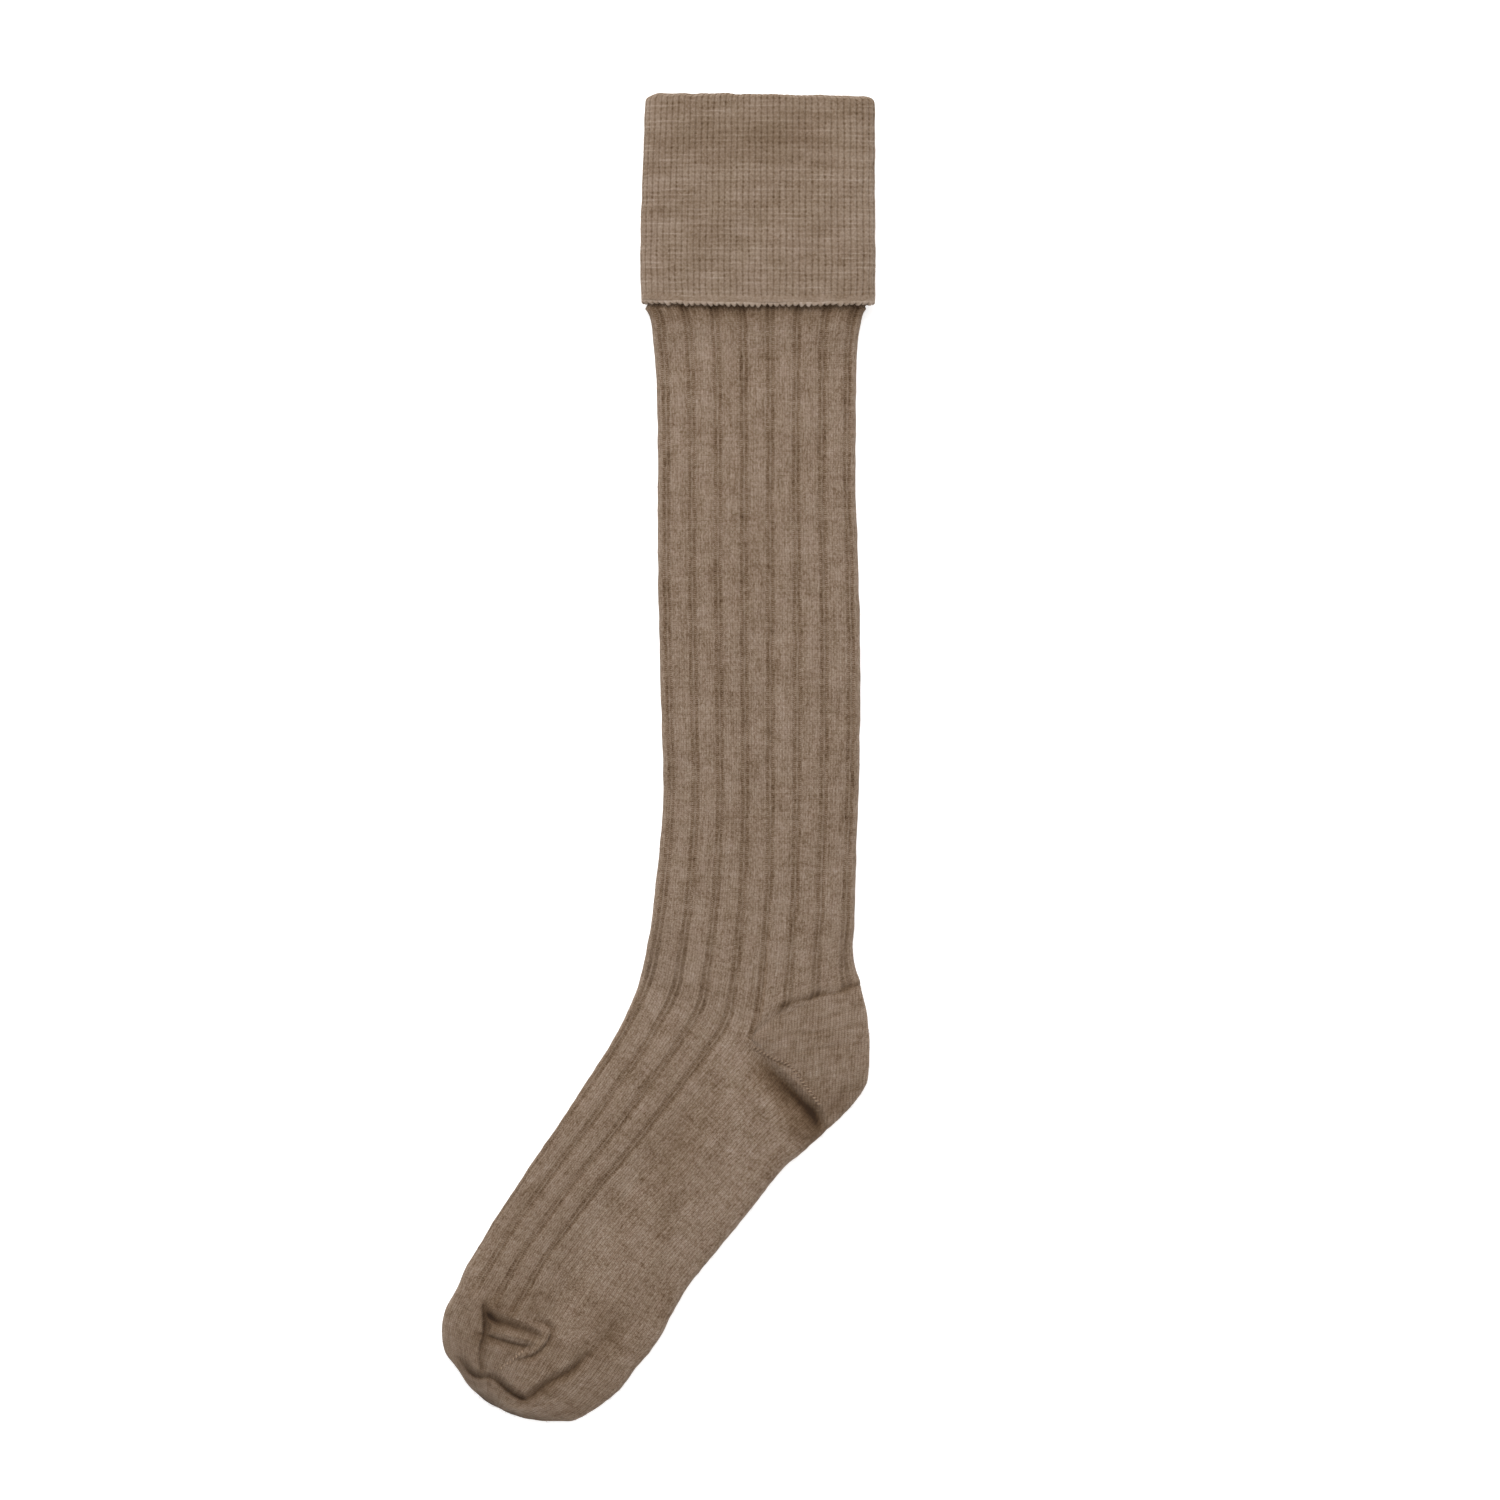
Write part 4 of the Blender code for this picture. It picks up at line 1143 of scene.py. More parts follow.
def make_foot():
    """The foot: ribs over the instep, plain knit round the sole."""
    distances = np.unique(np.concatenate([np.linspace(*gaps) for gaps in FOOT_ROW_GAPS]))
    turned = table_value(FOOT_TURN, distances / FOOT_LENGTH)[:, None]
    wales = foot_columns()
    on_round = wales - turned
    points = nudged(skin(foot_sections(distances), on_round))
    courses = (LEG_LENGTH + distances[:, None]) / COURSE
    cloth = Cloth(points, stitch_columns(wales), courses, on_upper_face(on_round))
    cloth.press()
    from_front = np.abs((wales + FACE_WALES) % ROUND_WALES - FACE_WALES)
    to_toe = (FOOT_LENGTH - distances)[:, None]
    ribbed = eased((INSTEP_WALES - from_front) / INSTEP_FADE)
    ribbed = ribbed * at_least(TOE_STRENGTH, eased(to_toe / TOE_FADE))
    work_ribs(cloth, wales, ribbed)
    # Painted light on the ridge beside the last groove
    cloth.shade += RIDGE_SHADE * bell(from_front - RIDGE_WALES)
    cloth.shade += FOOT_SHADE * eased(distances / FOOT_SHADE_START)[:, None]
    return cloth_piece("foot_knit", cloth, WALL, every=2)


def make_heel():
    """The heel pocket, a fan of rows round the side point of each face."""
    first = FRONT_WALES + HEEL_MARGIN
    wales = np.linspace(first, ROUND_WALES - first, HEEL_SHAPE[1])
    points = nudged(skin(heel_sections(np.linspace(0.0, 1.0, HEEL_SHAPE[0])), wales))
    x, y = np.moveaxis(points[:, :, :2] - ANKLE, 2, 0)
    stitch_wales = (x - HEEL_WALE_LEAN * y) / HEEL_WALE
    stitch_courses = (HEEL_COURSE_RISE * x - y) / COURSE
    cloth = Cloth(points, stitch_wales, stitch_courses, on_upper_face(wales), closed=False)
    cloth.press()
    cloth.emboss(wale_relief(stitch_wales, PLAIN_WALE_DEPTH))
    return cloth_piece("heel_knit", cloth, WALL)


def make_toe():
    """The toe cap, which closes over the round edge of its tip."""
    distances = np.linspace(0.0, TOE_DEPTH - TIP_GAP, TOE_ROWS)
    distances = np.append(distances, TOE_DEPTH - np.array(TIP_GAPS_MM) * MM)
    wales = np.append(np.linspace(0, FACE_WALES, TOE_COLUMNS[0])[:-1],
                      np.linspace(FACE_WALES, ROUND_WALES, TOE_COLUMNS[1])[:-1])
    points = nudged(skin(toe_sections(distances), wales))
    courses = (LEG_LENGTH + FOOT_LENGTH + distances[:, None]) / COURSE
    cloth = Cloth(points, wales, courses, on_upper_face(wales))
    cloth.press()
    cloth.emboss(wale_relief(wales, PLAIN_WALE_DEPTH))
    return cloth_piece("toe_knit", cloth, WALL, every=2, tip=True)


def hem_rise(points):
    """How far the band's lower end lies above its lowest place."""
    left, right = [place(end, 0)[0] for end in HEM_ENDS]
    across = (points[:, :, 0] - (left + right) / 2) / ((right - left) / 2)
    return HEM_SAG * across**2 - HEM_SLANT * across - HEM_DROP


def top_wave(points):
    """The top fold's small unevenness."""
    x = points[:, :, 0]
    waves = sum(height * np.sin(x / length + phase) for length, phase, height in TOP_WAVES)
    return waves - TOP_SLANT * (x - TOP_SIDE[0]) / (LEG_WIDTH / 2)


def joined(*parts):
    return Rows(*[np.concatenate(values) for values in zip(*parts)])


def make_cuff():
    """The band from its lower end up, over the top fold and down inside the mouth."""
    fold = CUFF_WALL + CUFF_GAP / 2
    courses = (np.arange(math.ceil(CUFF_DEPTH / CUFF_COURSE))[:, None] + COURSE_OFFSETS).ravel()
    distances = CUFF_DEPTH - courses * CUFF_COURSE
    distances = distances[distances > fold]
    band = band_sections(distances)
    turns = np.radians(np.linspace(0.0, 180.0, FOLD_TURNS))
    over = shrunk(band_sections(fold * (1.0 - np.sin(turns))), fold * (1.0 - np.cos(turns)))
    lip_distances = np.linspace(fold + LIP_START, CUFF_LIP, LIP_ROWS)
    lip = shrunk(leg_sections(lip_distances), CUFF_WALL)
    corner = corner_inset(lip_distances)
    lip = lip._replace(front=lip.front - corner, back=lip.back - corner)
    # The rows run upwards, so the columns run the other way round to face out.
    wales = (np.arange(0, ROUND_WALES, 2)[:, None] + PAIR_OFFSETS).ravel()[::-1]
    points = swayed(skin(joined(band, over, lip), wales))
    depth = np.concatenate([distances, 0.0 * turns, lip_distances])[:, None]
    on_band = (np.arange(len(points)) < len(distances))[:, None]
    points[:, :, 1] += hem_rise(points) * on_band * (depth / CUFF_DEPTH) ** SAG_EXPONENT
    points[:, :, 1] += top_wave(points) * eased(1.0 - depth / TOP_WAVE_DEPTH)
    run = lengths_along(points[:, len(wales) // 4])[:, None] / CUFF_COURSE
    cloth = Cloth(points, wales / 2, -run, on_upper_face(wales))
    cloth.press(creases=False)
    from_valley = np.abs((wales + 1) % 2 - 1)
    valley = bell(from_valley / CUFF_VALLEY_WIDTH)
    hole = np.sin(math.pi * (run % 1.0))
    plain = CUFF_PLAIN_SHARE * CUFF_PLAIN_EDGE
    worked = eased((run * CUFF_COURSE - plain) / (CUFF_PLAIN_EDGE - plain))
    relief = CUFF_VALLEY_DEPTH * valley * at_least(CUFF_BAR_SHARE, hole)
    cloth.emboss(relief * worked, worked)
    # Painted shade in the valleys' holes, and the plain edge lighter
    cloth.shade += CUFF_HOLE_SHADE * valley * hole * worked - CUFF_EDGE_LIGHT * (1.0 - worked)
    return cloth_piece("cuff_knit", cloth, CUFF_WALL, every=5)


def make_hem():
    """The finished edge, with a small soft tooth under every knit column."""
    rng = np.random.default_rng(HEM_SEED)
    count = len(HEM_ROWS)
    wales = np.arange(FACE_WALES * POINTS_PER_TOOTH) * (2.0 / POINTS_PER_TOOTH)
    at_end = band_sections(np.full(count, CUFF_DEPTH))
    points = swayed(skin(shrunk(at_end, column(HEM_ROWS, "inset")), wales))
    tooth = np.abs(np.sin(math.pi * wales / 2)) ** TOOTH_ROUNDNESS
    each = (wales // 2).astype(int)
    length = rng.uniform(*TOOTH_LENGTHS, FACE_WALES)[each] * tooth * TOOTH_LENGTH
    lean = rng.uniform(*TOOTH_LEANS, FACE_WALES)[each] * tooth
    hanging = column(HEM_ROWS, "tooth")[:, None]
    body = column(HEM_ROWS, "drop")[:, None] * (HEM_DEPTH - TOOTH_LENGTH)
    points[:, :, 1] += hem_rise(points) - body - length * hanging
    points[:, :, 0] += lean * hanging
    points[:, :, 2] = np.maximum(points[:, :, 2], 0.0)
    # Painted shade between the teeth, where they hang
    shade = TOOTH_SHADE * (1.0 - tooth) * hanging
    ids = np.arange(count * len(wales)).reshape(count, -1)
    across = np.broadcast_to(np.linspace(0.0, 1.0, len(wales) + 1)[:-1], ids.shape)
    down = np.broadcast_to(np.linspace(0.0, 1.0, count + 1)[:-1, None], ids.shape)
    wale_places = np.broadcast_to(wales / 2, ids.shape)
    courses = np.broadcast_to(np.arange(count)[:, None] / HEM_COURSE_ROWS, ids.shape)
    ring = Patch(ids, wale_places, courses, across, down)
    ring = wrapped(ring, 0, (0, 0.0, count / HEM_COURSE_ROWS, 0.0, 1.0))
    ring = wrapped(ring, 1, (0, FACE_WALES, 0.0, 1.0, 0.0))
    return mesh_piece("hem_knit", points, [ring], [], {"shade": shade, "ribbed": 0.0 * shade})


def strands_piece(name, lines, radii):
    """Thin strands of yarn: lines holds the points of each one, radii the radius at each point."""
    count, length = lines.shape[:2]
    along = np.gradient(lines, axis=1)
    along /= np.linalg.norm(along, axis=2, keepdims=True)
    level = np.cross(along, np.array([0.0, 0.0, 1.0]) + STRAND_LEAN * along[:, :, [1, 2, 0]])
    level /= np.linalg.norm(level, axis=2, keepdims=True)
    upright = np.cross(level, along)
    turns = 2 * math.pi * np.arange(STRAND_SIDES) / STRAND_SIDES
    ring = level[:, :, None] * np.cos(turns)[:, None] + upright[:, :, None] * np.sin(turns)[:, None]
    points = lines[:, :, None] + ring * radii[:, :, None, None]
    points[..., 2] = np.maximum(points[..., 2], 0.0)
    ids = np.arange(points[..., 0].size).reshape(count, length, STRAND_SIDES)
    nexts = np.roll(ids, -1, axis=2)
    quads = np.stack([ids[:, :-1], ids[:, 1:], nexts[:, 1:], nexts[:, :-1]], axis=-1).reshape(-1, 4)
    caps = list(ids[:, 0]) + list(ids[:, -1, ::-1])
    # Each strand has a cell of its own in the baked picture.
    cells = math.ceil(math.sqrt(count))
    cell = np.stack([np.arange(count) % cells, np.arange(count) // cells], axis=-1)
    corner = np.array([[0, 0], [0, 1], [1, 1], [1, 0]])
    down, over = np.meshgrid(np.arange(length - 1), np.arange(STRAND_SIDES), indexing="ij")
    inside = np.stack([over, down], axis=-1)[:, :, None] + corner
    inside = CELL_MARGIN + (1.0 - 2 * CELL_MARGIN) * inside / np.array([STRAND_SIDES, length - 1])
    bake = ((cell[:, None, None, None] + inside) / cells).reshape(-1, 4, 2)
    return mesh_from(name, points, quads, caps, {"OFBake": bake}, {})


def fuzz(name, cloth_name, count, seed):
    """Loose fibres that stand a little out of a cloth."""
    rng = np.random.default_rng(seed)
    cloth = CLOTHS[cloth_name]
    rows = rng.integers(1, cloth.outer.shape[0] - 1, FUZZ_TRIES * count)
    cols = rng.integers(1, cloth.outer.shape[1] - 1, FUZZ_TRIES * count)
    up = cloth.normals[rows, cols, 2]
    lit = cloth.shade[rows, cols] < FUZZ_SHADE
    seen = np.nonzero((up > FUZZ_FACING) & lit & (cloth.outer[rows, cols, 1] < FUZZ_TOP))[0][:count]
    start, normal = cloth.outer[rows, cols][seen], cloth.normals[rows, cols][seen]
    count = len(seen)
    heading = rng.normal(size=(count, 3))
    heading -= (heading * normal).sum(1, keepdims=True) * normal
    heading /= np.linalg.norm(heading, axis=1, keepdims=True)
    aside = np.cross(normal, heading)
    length = rng.uniform(*FUZZ_LENGTHS, count)[:, None, None]
    rise = rng.uniform(*FUZZ_RISES, count)[:, None, None]
    curl = rng.normal(0.0, FUZZ_CURL, count)[:, None, None]
    share = np.linspace(0.0, 1.0, FUZZ_POINTS)[None, :, None]
    lines = start[:, None] + heading[:, None] * length * share * (1.0 - FUZZ_BEND * share)
    lines = lines + normal[:, None] * rise * np.sin(FUZZ_ARC * share)
    lines = lines + aside[:, None] * curl * length * share**2
    radii = np.broadcast_to(FUZZ_RADIUS * (1.0 - FUZZ_TAPER * share[:, :, 0]), lines.shape[:2])
    return strands_piece(name, lines, radii)


def heights_at(cloth_names, flat):
    """The heights of the nearest points of some cloths' upper faces."""
    points = np.concatenate([CLOTHS[name].outer[CLOTHS[name].upper] for name in cloth_names])
    near = [np.argmin(((points[:, :2] - at) ** 2).sum(1)) for at in flat]
    return points[near, 2]


def seam_stitches(name, seam):
    """A row of short stitches that lie over a seam."""
    line = np.array([place(*pixel) for pixel in seam.line])
    runs = lengths_along(line)
    wanted = np.arange(seam.step / 2, runs[-1], seam.step)
    centres = smooth_table(runs, line, wanted)
    ahead = smooth_table(runs, line, np.minimum(wanted + SEAM_AHEAD, runs[-1])) - centres
    turn = np.arctan2(ahead[:, 1], ahead[:, 0]) + math.radians(seam.turn)
    away = np.stack([np.cos(turn), np.sin(turn)], axis=-1) * seam.length / 2
    shares = np.linspace(-1.0, 1.0, SEAM_POINTS)
    flat = centres[:, None] + away[:, None] * shares[None, :, None]
    heights = heights_at(seam.cloths, flat.reshape(-1, 2)).reshape(flat.shape[:2])
    arch = seam.radius * (1.0 - SEAM_ARCH * shares**2)
    lines = np.concatenate([flat, (heights + arch)[:, :, None]], axis=2)
    radii = np.broadcast_to(seam.radius * np.sqrt(SEAM_ENDS - shares**2), flat.shape[:2])
    return strands_piece(name, lines, radii)


class Value:
    """A number that a material works out at each place: the output of one of its nodes."""

    def __init__(self, graph, socket):
        self.graph, self.socket = graph, socket

    def apply(self, operation, *others):
        """The output of a math node whose first input is this value."""
        return self.graph.math(operation, self, *others)

    def __add__(self, other):
        return self.apply("ADD", other)

    def __sub__(self, other):
        return self.apply("SUBTRACT", other)

    def __rsub__(self, other):
        return self.graph.math("SUBTRACT", other, self)

    def __mul__(self, other):
        return self.apply("MULTIPLY", other)

    def __pow__(self, power):
        return self.apply("POWER", power)

    def floor(self):
        return self.apply("FLOOR")

    def fract(self):
        return self.apply("FRACT")

    def sine(self):
        return self.apply("SINE")

    def wave(self):
        """0 to 1 once in each turn, with 1 at a quarter."""
        return (self * (2 * math.pi)).sine() * 0.5 + 0.5

    def spread(self, low, high):
        """Mapped from low..high to 0..1, and held there."""
        inputs = {"Value": self, "From Min": low, "From Max": high}
        return self.graph.node("ShaderNodeMapRange", inputs, "Result")


class Graph:
    """Builds a material's nodes."""

    def __init__(self, name):
        self.material = bpy.data.materials.new(name)
        self.material.use_nodes = True
        self.tree = self.material.node_tree
        self.shader = self.tree.nodes["Principled BSDF"]

    def put(self, value, socket):
        if isinstance(value, Value):
            self.tree.links.new(value.socket, socket)
        else:
            socket.default_value = value

    def node(self, kind, inputs=(), output=0, **settings):
        """An output of a new node, whose inputs are numbers or values."""
        node = self.tree.nodes.new(kind)
        for name, value in settings.items():
            setattr(node, name, value)
        for name, value in dict(inputs).items():
            self.put(value, node.inputs[name])
        return Value(self, node.outputs[output])

    def math(self, operation, *values):
        return self.node("ShaderNodeMath", dict(enumerate(values)), operation=operation)

    def vector(self, x, y, z=0.0):
        return self.node("ShaderNodeCombineXYZ", {"X": x, "Y": y, "Z": z})

    def noise(self, vector, scale, detail):
        inputs = {"Vector": vector, "Scale": scale, "Detail": detail, "Roughness": NOISE_ROUGHNESS}
        return self.node("ShaderNodeTexNoise", inputs, "Fac")

    def own_number(self, x, y):
        """0 to 1: a number of its own for each pair of whole numbers."""
        inputs = {"Vector": self.vector(x, y)}
        return self.node("ShaderNodeTexWhiteNoise", inputs, "Value", noise_dimensions="2D")

    def attribute(self, name):
        return self.node("ShaderNodeAttribute", output="Fac", attribute_name=name)

    def stitches(self):
        """Wale and course counts from the UV map."""
        places = self.node("ShaderNodeUVMap", uv_map="Knit")
        return [self.node("ShaderNodeSeparateXYZ", {"Vector": places}, axis) for axis in "XY"]

    def finish(self, colour, height, bump, roughness, sheen=0.0):
        """The finished material. colour is its red, green and blue, and bump the relief's depth."""
        parts = dict(zip(("Red", "Green", "Blue"), colour))
        relief = {"Height": height, "Distance": bump, "Strength": 1.0}
        inputs = {
            "Base Color": self.node("ShaderNodeCombineColor", parts),
            "Normal": self.node("ShaderNodeBump", relief),
            "Roughness": roughness,
            "Specular IOR Level": WOOL_SPECULAR,
            "Sheen Weight": sheen,
            "Sheen Roughness": SHEEN_ROUGHNESS,
            "Sheen Tint": SHEEN_TINT,
        }
        for name, value in inputs.items():
            self.put(value, self.shader.inputs[name])
        return self.material


NOISE_ROUGHNESS = 0.6
WOOL_SPECULAR = 0.2
WOOL_ROUGHNESS = 0.93
STRAND_ROUGHNESS = 0.9
SHEEN = 0.12
SHEEN_ROUGHNESS = 0.5
SHEEN_TINT = (0.95, 0.85, 0.74, 1.0)
DARKEST = 0.08  # the least brightness under painted shade, deep in a fold
STRAND_CONTRAST = 1.2
STRAND_BUMP = 0.1 * MM

# The shapes of the stitches. Rises and hollows are shares of a stitch's height.
GRAIN_COURSES = 1.5  # yarn grains in one course
KNIT_ARC = (0.15 * math.pi, 0.85 * math.pi)  # a yarn leg's angle in the wale's middle, and its gain
KNIT_POWER = 0.7
KNIT_SLANT = 0.62  # courses that a yarn leg climbs from the middle of its wale to its side
KNIT_RISE = 0.4
PURL_SWAY = 0.16
PURL_HOLLOW = 0.25
PURL_MIDDLE = 1.5  # the groove's middle, in columns from its edge
PURL_DARK = 0.07
COLUMN_ARC = 0.8 * math.pi
COLUMN_POWER = 0.6
CUFF_SLANT = 0.5
CUFF_RISE = 0.25
CUFF_PLAIN_HEIGHT = 0.75
CUFF_FINENESS = (2.0, 2.4)  # turns of the yarn's noises for one of a wale and of a course
DOT_SIDES = (0.05, 0.55)  # a dot's dark middle and its edge, from the column's side
DOT_POWER = 1.3
DOT_STRENGTH = 0.50
DOT_LOSS = 0.08
LINE_POWER = 9.0
LINE_LEVEL = 0.05
HEM_RELIEF = 0.35
HEM_BASE = 0.55

# A noise over the stitches, by its turns in one wale and in one course. depth keeps noises apart.
Noise = namedtuple("Noise", "across along detail strength depth", defaults=(0.0,))
NOISE_STEP = 3.7  # from one noise's depth to the next one's
FIBRES = Noise(11.0, 4.0, 2.0, 0.60)
HUE = Noise(0.16, 0.12, 2.0, 0.05, 51.0)
PURL_RUNS = Noise(0.5, 0.055, 2.0, 1.0, 33.0)
CUFF_RUNS = Noise(0.18, 0.77, 2.0, 2.2, 21.0)

# How a knit looks. tones are its yarn's light and dark, and grain how much its yarn legs differ.
# low and gain give the colour's tone at a height of 0 and its rise with the height: painted shade in
# the stitches' hollows.
Look = namedtuple("Look", "wool grain low gain bump tones")
RIBBED_LOOK = Look(WOOL, 0.50, 0.67, 0.53, 0.26 * MM, (
    Noise(0.050, 0.045, 2.0, 0.42),  # regions
    Noise(0.180, 0.150, 2.0, 0.50),  # patches of a few stitches
    Noise(0.080, 0.450, 2.0, 0.55),  # along the courses
    Noise(0.850, 0.055, 2.0, 0.80),  # along the wales
    Noise(1.600, 0.480, 3.0, 1.15),  # stitches
))
PLAIN_LOOK = Look(WOOL, 0.30, 0.50, 0.68, 0.32 * MM, (
    Noise(0.050, 0.050, 2.0, 0.45),
    Noise(0.220, 0.200, 2.0, 0.65),
    Noise(0.090, 0.500, 2.0, 0.65),
    Noise(0.800, 0.080, 2.0, 0.85),
    Noise(1.400, 0.420, 3.0, 0.95),
))
CUFF_LOOK = Look(CUFF_WOOL, 0.20, 0.63, 0.37, 0.26 * MM, (
    Noise(0.035, 0.035, 2.0, 0.50),
    Noise(0.130, 0.130, 2.0, 0.45),
    Noise(0.040, 0.300, 2.0, 0.70),
    Noise(0.850, 0.070, 2.0, 0.30),
    Noise(1.150, 0.800, 3.0, 1.00),
))
HEM_LOOK = Look(CUFF_WOOL, 0.20, 0.60, 0.55, 0.30 * MM, (
    Noise(0.300, 0.200, 2.0, 0.50),
    Noise(3.300, 1.300, 2.0, 0.70),
))
HEM_BRIGHTNESS = 1.22


def one_noise(wale, course, noise):
    """A noise around 0."""
    places = wale.graph.vector(wale * noise.across, course * noise.along, noise.depth)
    return (wale.graph.noise(places, 1.0, noise.detail) - 0.5) * noise.strength


def yarn_tone(wale, course, look):
    """The sum of noises around 1, with a grain of its own for each yarn leg of each stitch."""
    each = wale.graph.own_number((wale * 2.0).floor(), (course * GRAIN_COURSES).floor())
    total = each * look.grain + (1.0 - 0.5 * look.grain)
    for number, noise in enumerate(look.tones):
        total = one_noise(wale, course, noise._replace(depth=NOISE_STEP * number)) + total
    return total


def from_middle(wale):
    """0 in the middle of a wale and 1 at its two sides."""
    return (wale.fract() * 2.0 - 1.0).apply("ABSOLUTE")


def knit_height(wale, course):
    """Height of plain knit: two yarn legs in each wale, which meet in a V."""
    half = from_middle(wale)
    leg = (half * KNIT_ARC[1] + KNIT_ARC[0]).sine() ** KNIT_POWER
    return leg * ((course + half * KNIT_SLANT).wave() * KNIT_RISE + (1.0 - KNIT_RISE))


def purl_height(wale, course):
    """Height of purl stitches: rows of bumps that lie across the wale."""
    sway = (wale * (2 * math.pi)).apply("COSINE") * PURL_SWAY
    hollow = (wale + 0.25).wave() * PURL_HOLLOW + (1.0 - PURL_HOLLOW)
    return (course + sway).wave() * hollow


def column_height(side):
    """Height of a knit column in the cuff, by how far it is from the column's side."""
    return (side * COLUMN_ARC).sine() ** COLUMN_POWER


def finish_wool(height, tone, look, wale, course):
    """Colour from the yarn's tone, painted shade in the hollows by the height, the cloth's painted
    shade, and the bump.
    """
    graph = height.graph
    lit = tone * (height * look.gain + look.low) * (1.0 - graph.attribute("shade"))
    lit = lit.apply("MAXIMUM", DARKEST)
    red, green, blue = [lit ** power * part for power, part in zip(TONE_POWERS, look.wool)]
    green = green * (one_noise(wale, course, HUE) + 1.0)
    return graph.finish((red, green, blue), height, look.bump, WOOL_ROUGHNESS, SHEEN)


def strand_material(name, brightness, grain):
    """Bare strands of the same wool, with light and dark runs along them."""
    graph = Graph(name)
    places = graph.node("ShaderNodeTexCoord", output="Object")
    runs = graph.noise(places, 1.0 / grain, 3.0) - 0.5
    lit = (runs * STRAND_CONTRAST + 1.0) * brightness
    return graph.finish([lit * part for part in WOOL], runs, STRAND_BUMP, STRAND_ROUGHNESS)


def ribbed_material():
    """Broad ribs of knit stitches with two purl columns in each groove."""
    graph = Graph("ribbed_wool")
    wale, course = graph.stitches()
    in_rib = (wale * (1.0 / RIB_WALES)).fract() * float(RIB_WALES)
    off = (in_rib - PURL_MIDDLE).apply("ABSOLUTE")
    purl = off.apply("COMPARE", 1.0, 0.5) * graph.attribute("ribbed")
    height = knit_height(wale, course) * (1.0 - purl) + purl_height(wale, course) * purl
    height = height + one_noise(wale, course, FIBRES)
    # Painted shade on the purl lines, darker in some runs than in others.
    dark = purl * (one_noise(wale, course, PURL_RUNS) + PURL_DARK)
    tone = yarn_tone(wale, course, RIBBED_LOOK) - dark
    return finish_wool(height, tone, RIBBED_LOOK, wale, course)


def plain_material(name, brightness):
    """Plain knit of the heel and toe."""
    wale, course = Graph(name).stitches()
    height = knit_height(wale, course) + one_noise(wale, course, FIBRES)
    tone = yarn_tone(wale, course, PLAIN_LOOK) * brightness
    return finish_wool(height, tone, PLAIN_LOOK, wale, course)


def cuff_material():
    """Close ribs of one knit and one purl column, in thick soft yarn."""
    graph = Graph("cuff_wool")
    wale, course = graph.stitches()
    worked = graph.attribute("ribbed")
    side = 1.0 - from_middle(wale)
    rise = (side * CUFF_SLANT + course).wave() * CUFF_RISE + (1.0 - CUFF_RISE)
    fine = [count * turns for count, turns in zip((wale, course), CUFF_FINENESS)]
    height = column_height(side) * rise * worked + (1.0 - worked) * CUFF_PLAIN_HEIGHT
    height = height + one_noise(*fine, FIBRES)
    # Painted shade: a dark dot in each stitch of the valley, each of its own strength
    dot = (1.0 - side.spread(*DOT_SIDES)) * (course - 0.25).wave() ** DOT_POWER
    each = graph.own_number((wale + 0.5).floor(), course.floor())
    dark = dot * ((each * DOT_STRENGTH - DOT_LOSS) * worked)
    # Painted light: thin light lines along the courses where yarn bars cross the valleys, in runs
    line = (course + 0.25).wave() ** LINE_POWER
    runs = one_noise(wale, (course + 0.5).floor(), CUFF_RUNS)
    light = line * worked * (runs + LINE_LEVEL).apply("MAXIMUM", 0.0)
    tone = yarn_tone(*fine, CUFF_LOOK) + light - dark
    return finish_wool(height, tone, CUFF_LOOK, wale, course)


def hem_material():
    """The finished edge: yarn drawn over it, lighter than the rest."""
    wale, course = Graph("hem_wool").stitches()
    height = column_height(1.0 - from_middle(wale)) * HEM_RELIEF + HEM_BASE
    height = height + one_noise(wale, course, FIBRES)
    tone = yarn_tone(wale, course, HEM_LOOK) * HEM_BRIGHTNESS
    return finish_wool(height, tone, HEM_LOOK, wale, course)


FLOOR_SIZE = 8.0
FLOOR_GREY = 0.90
FLOOR_ROUGHNESS = 0.9
FLOOR_GLOW = 0.55  # a light table's own faint glow, which keeps the shadow as pale as the photo's
CAMERA_HEIGHT = 3.0
FACE_HEIGHT = 8 * MM  # where the camera's frame is PHOTO_SIZE pixels wide
ROOM_LIGHT = 0.70
LAMP_SIZE = 1.3
LAMP_POWER = 50.0
LAMP_PLACE = (-0.25, 1.75, 1.75)


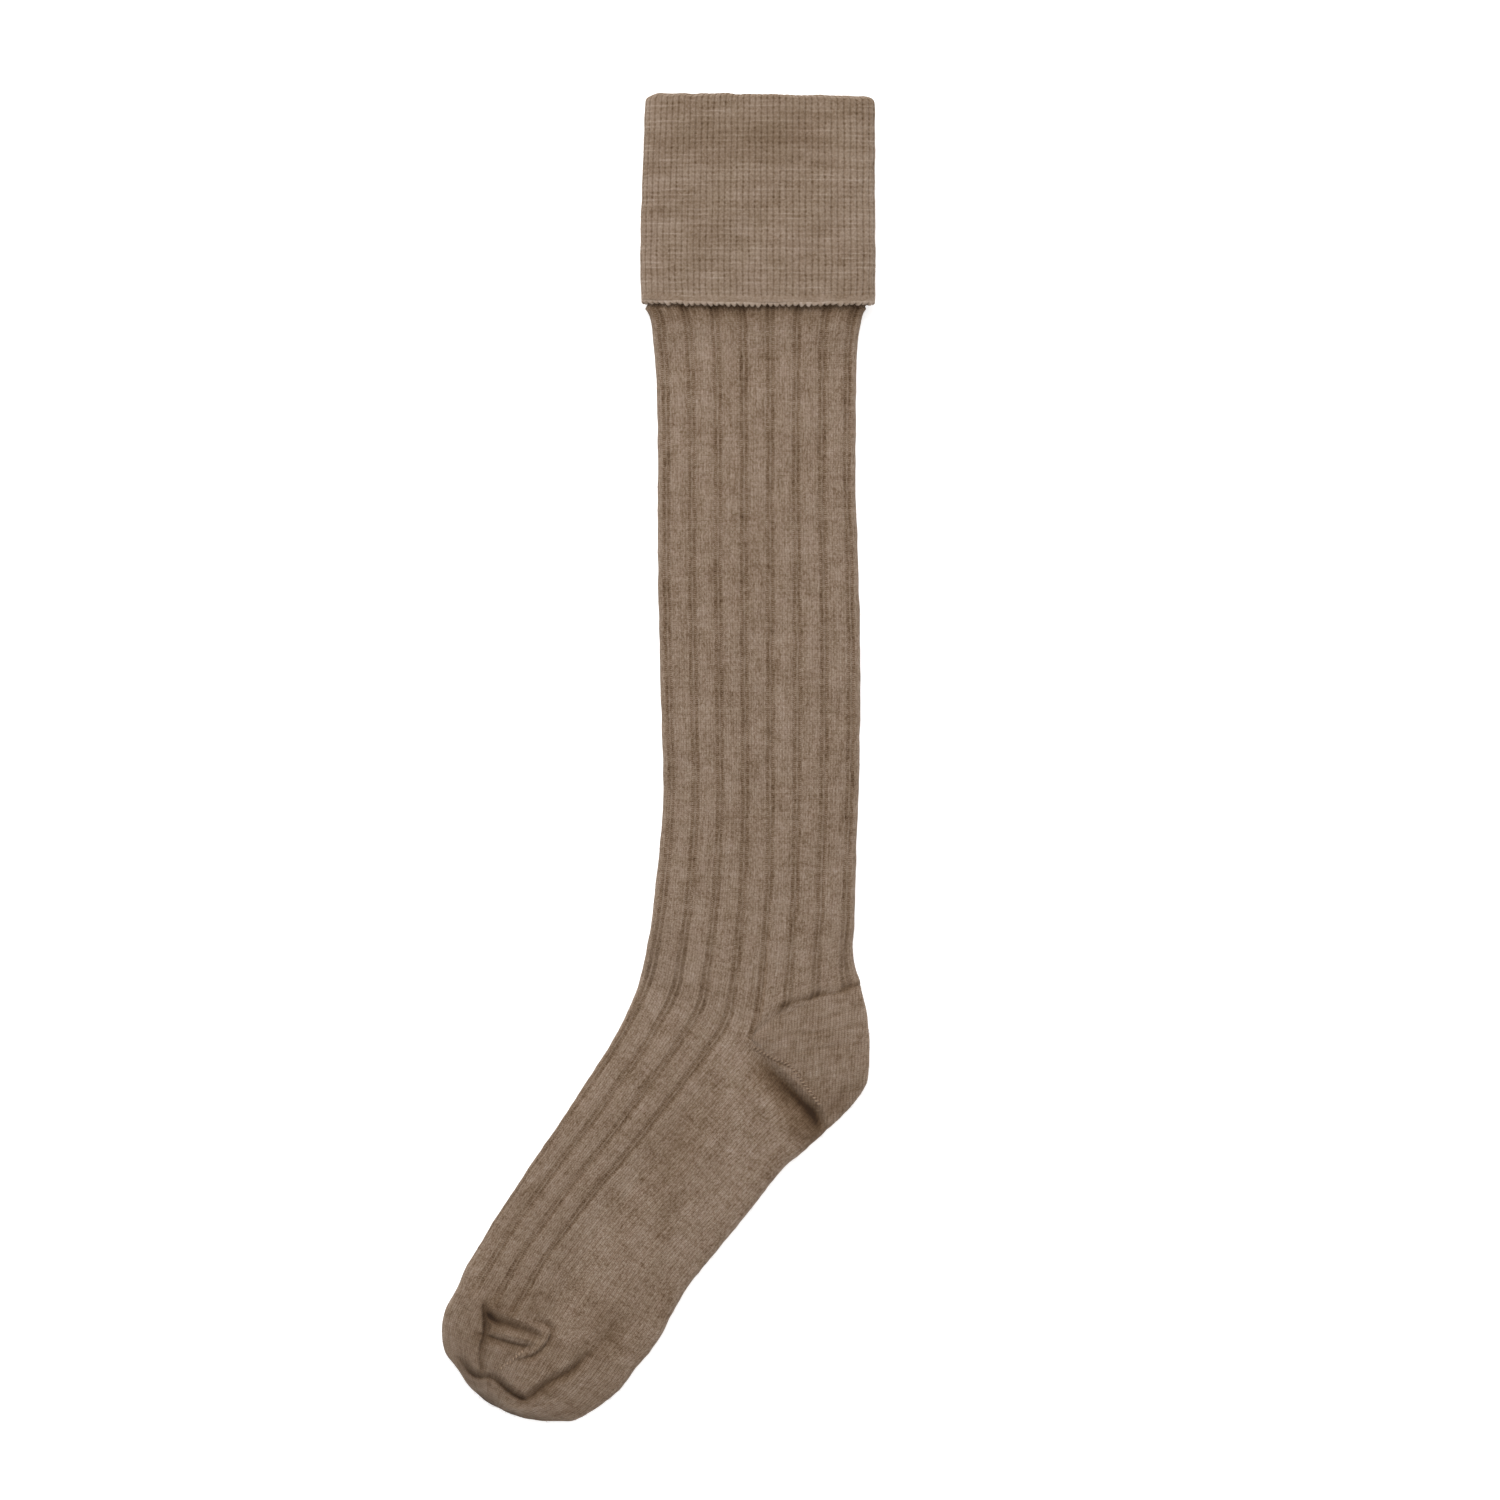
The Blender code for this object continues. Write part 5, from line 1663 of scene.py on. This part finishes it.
def make_floor():
    bpy.ops.mesh.primitive_plane_add(size=FLOOR_SIZE, location=(0.0, 0.0, 0.0))
    floor = bpy.context.object
    floor.name = "floor"
    graph = Graph("pale_floor")
    inputs = {
        "Base Color": (FLOOR_GREY, FLOOR_GREY, FLOOR_GREY, 1.0),
        "Roughness": FLOOR_ROUGHNESS,
        "Emission Color": (1.0, 1.0, 1.0, 1.0),
        "Emission Strength": FLOOR_GLOW,
    }
    for name, value in inputs.items():
        graph.put(value, graph.shader.inputs[name])
    floor.data.materials.append(graph.material)


def make_camera():
    """Straight above the photo's middle, with the photo's frame."""
    camera = bpy.data.objects.new("camera", bpy.data.cameras.new("camera"))
    camera.location = (*place(PHOTO_SIZE / 2, PHOTO_SIZE / 2), CAMERA_HEIGHT)
    camera.data.angle = 2 * math.atan(PHOTO_SIZE / 2 * PIXEL / (CAMERA_HEIGHT - FACE_HEIGHT))
    camera.data.clip_end = 50.0
    bpy.context.scene.collection.objects.link(camera)
    bpy.context.scene.camera = camera


def make_light():
    """A bright even room and one large soft lamp from beyond the cuff."""
    scene = bpy.context.scene
    scene.world = bpy.data.worlds.new("studio")
    scene.world.use_nodes = True
    background = scene.world.node_tree.nodes["Background"]
    background.inputs["Color"].default_value = (1.0, 1.0, 1.0, 1.0)
    background.inputs["Strength"].default_value = ROOM_LIGHT
    lamp = bpy.data.objects.new("key", bpy.data.lights.new("key", "AREA"))
    lamp.data.size = LAMP_SIZE
    lamp.data.energy = LAMP_POWER
    lamp.location = LAMP_PLACE
    lamp.rotation_euler = (-lamp.location).to_track_quat("-Z", "Y").to_euler()
    scene.collection.objects.link(lamp)
    scene.view_settings.view_transform = "Standard"


make_floor()
make_camera()
make_light()
ribbed = ribbed_material()
dress(make_cuff(), cuff_material(), "cuff")
dress(make_hem(), hem_material(), "hem")
dress(make_leg(), ribbed, "leg")
dress(make_foot(), ribbed, "foot")
dress(make_heel(), plain_material("heel_wool", 1.0), "heel")
dress(make_toe(), plain_material("toe_wool", 0.98), "toe")
stitch_wool = strand_material("stitch_wool", 1.45, 1.2 * MM)
dress(seam_stitches("heel_stitches", GORE_SEAM), stitch_wool)
dress(seam_stitches("toe_stitches", TOE_SEAM), stitch_wool)
fibre_wool = strand_material("fibre_wool", 1.35, 2.5 * MM)
for number, (part, count, slot) in enumerate(FUZZ_COUNTS):
    dress(fuzz(part + "_fibres", part + "_knit", count, FUZZ_SEED + number), fibre_wool)
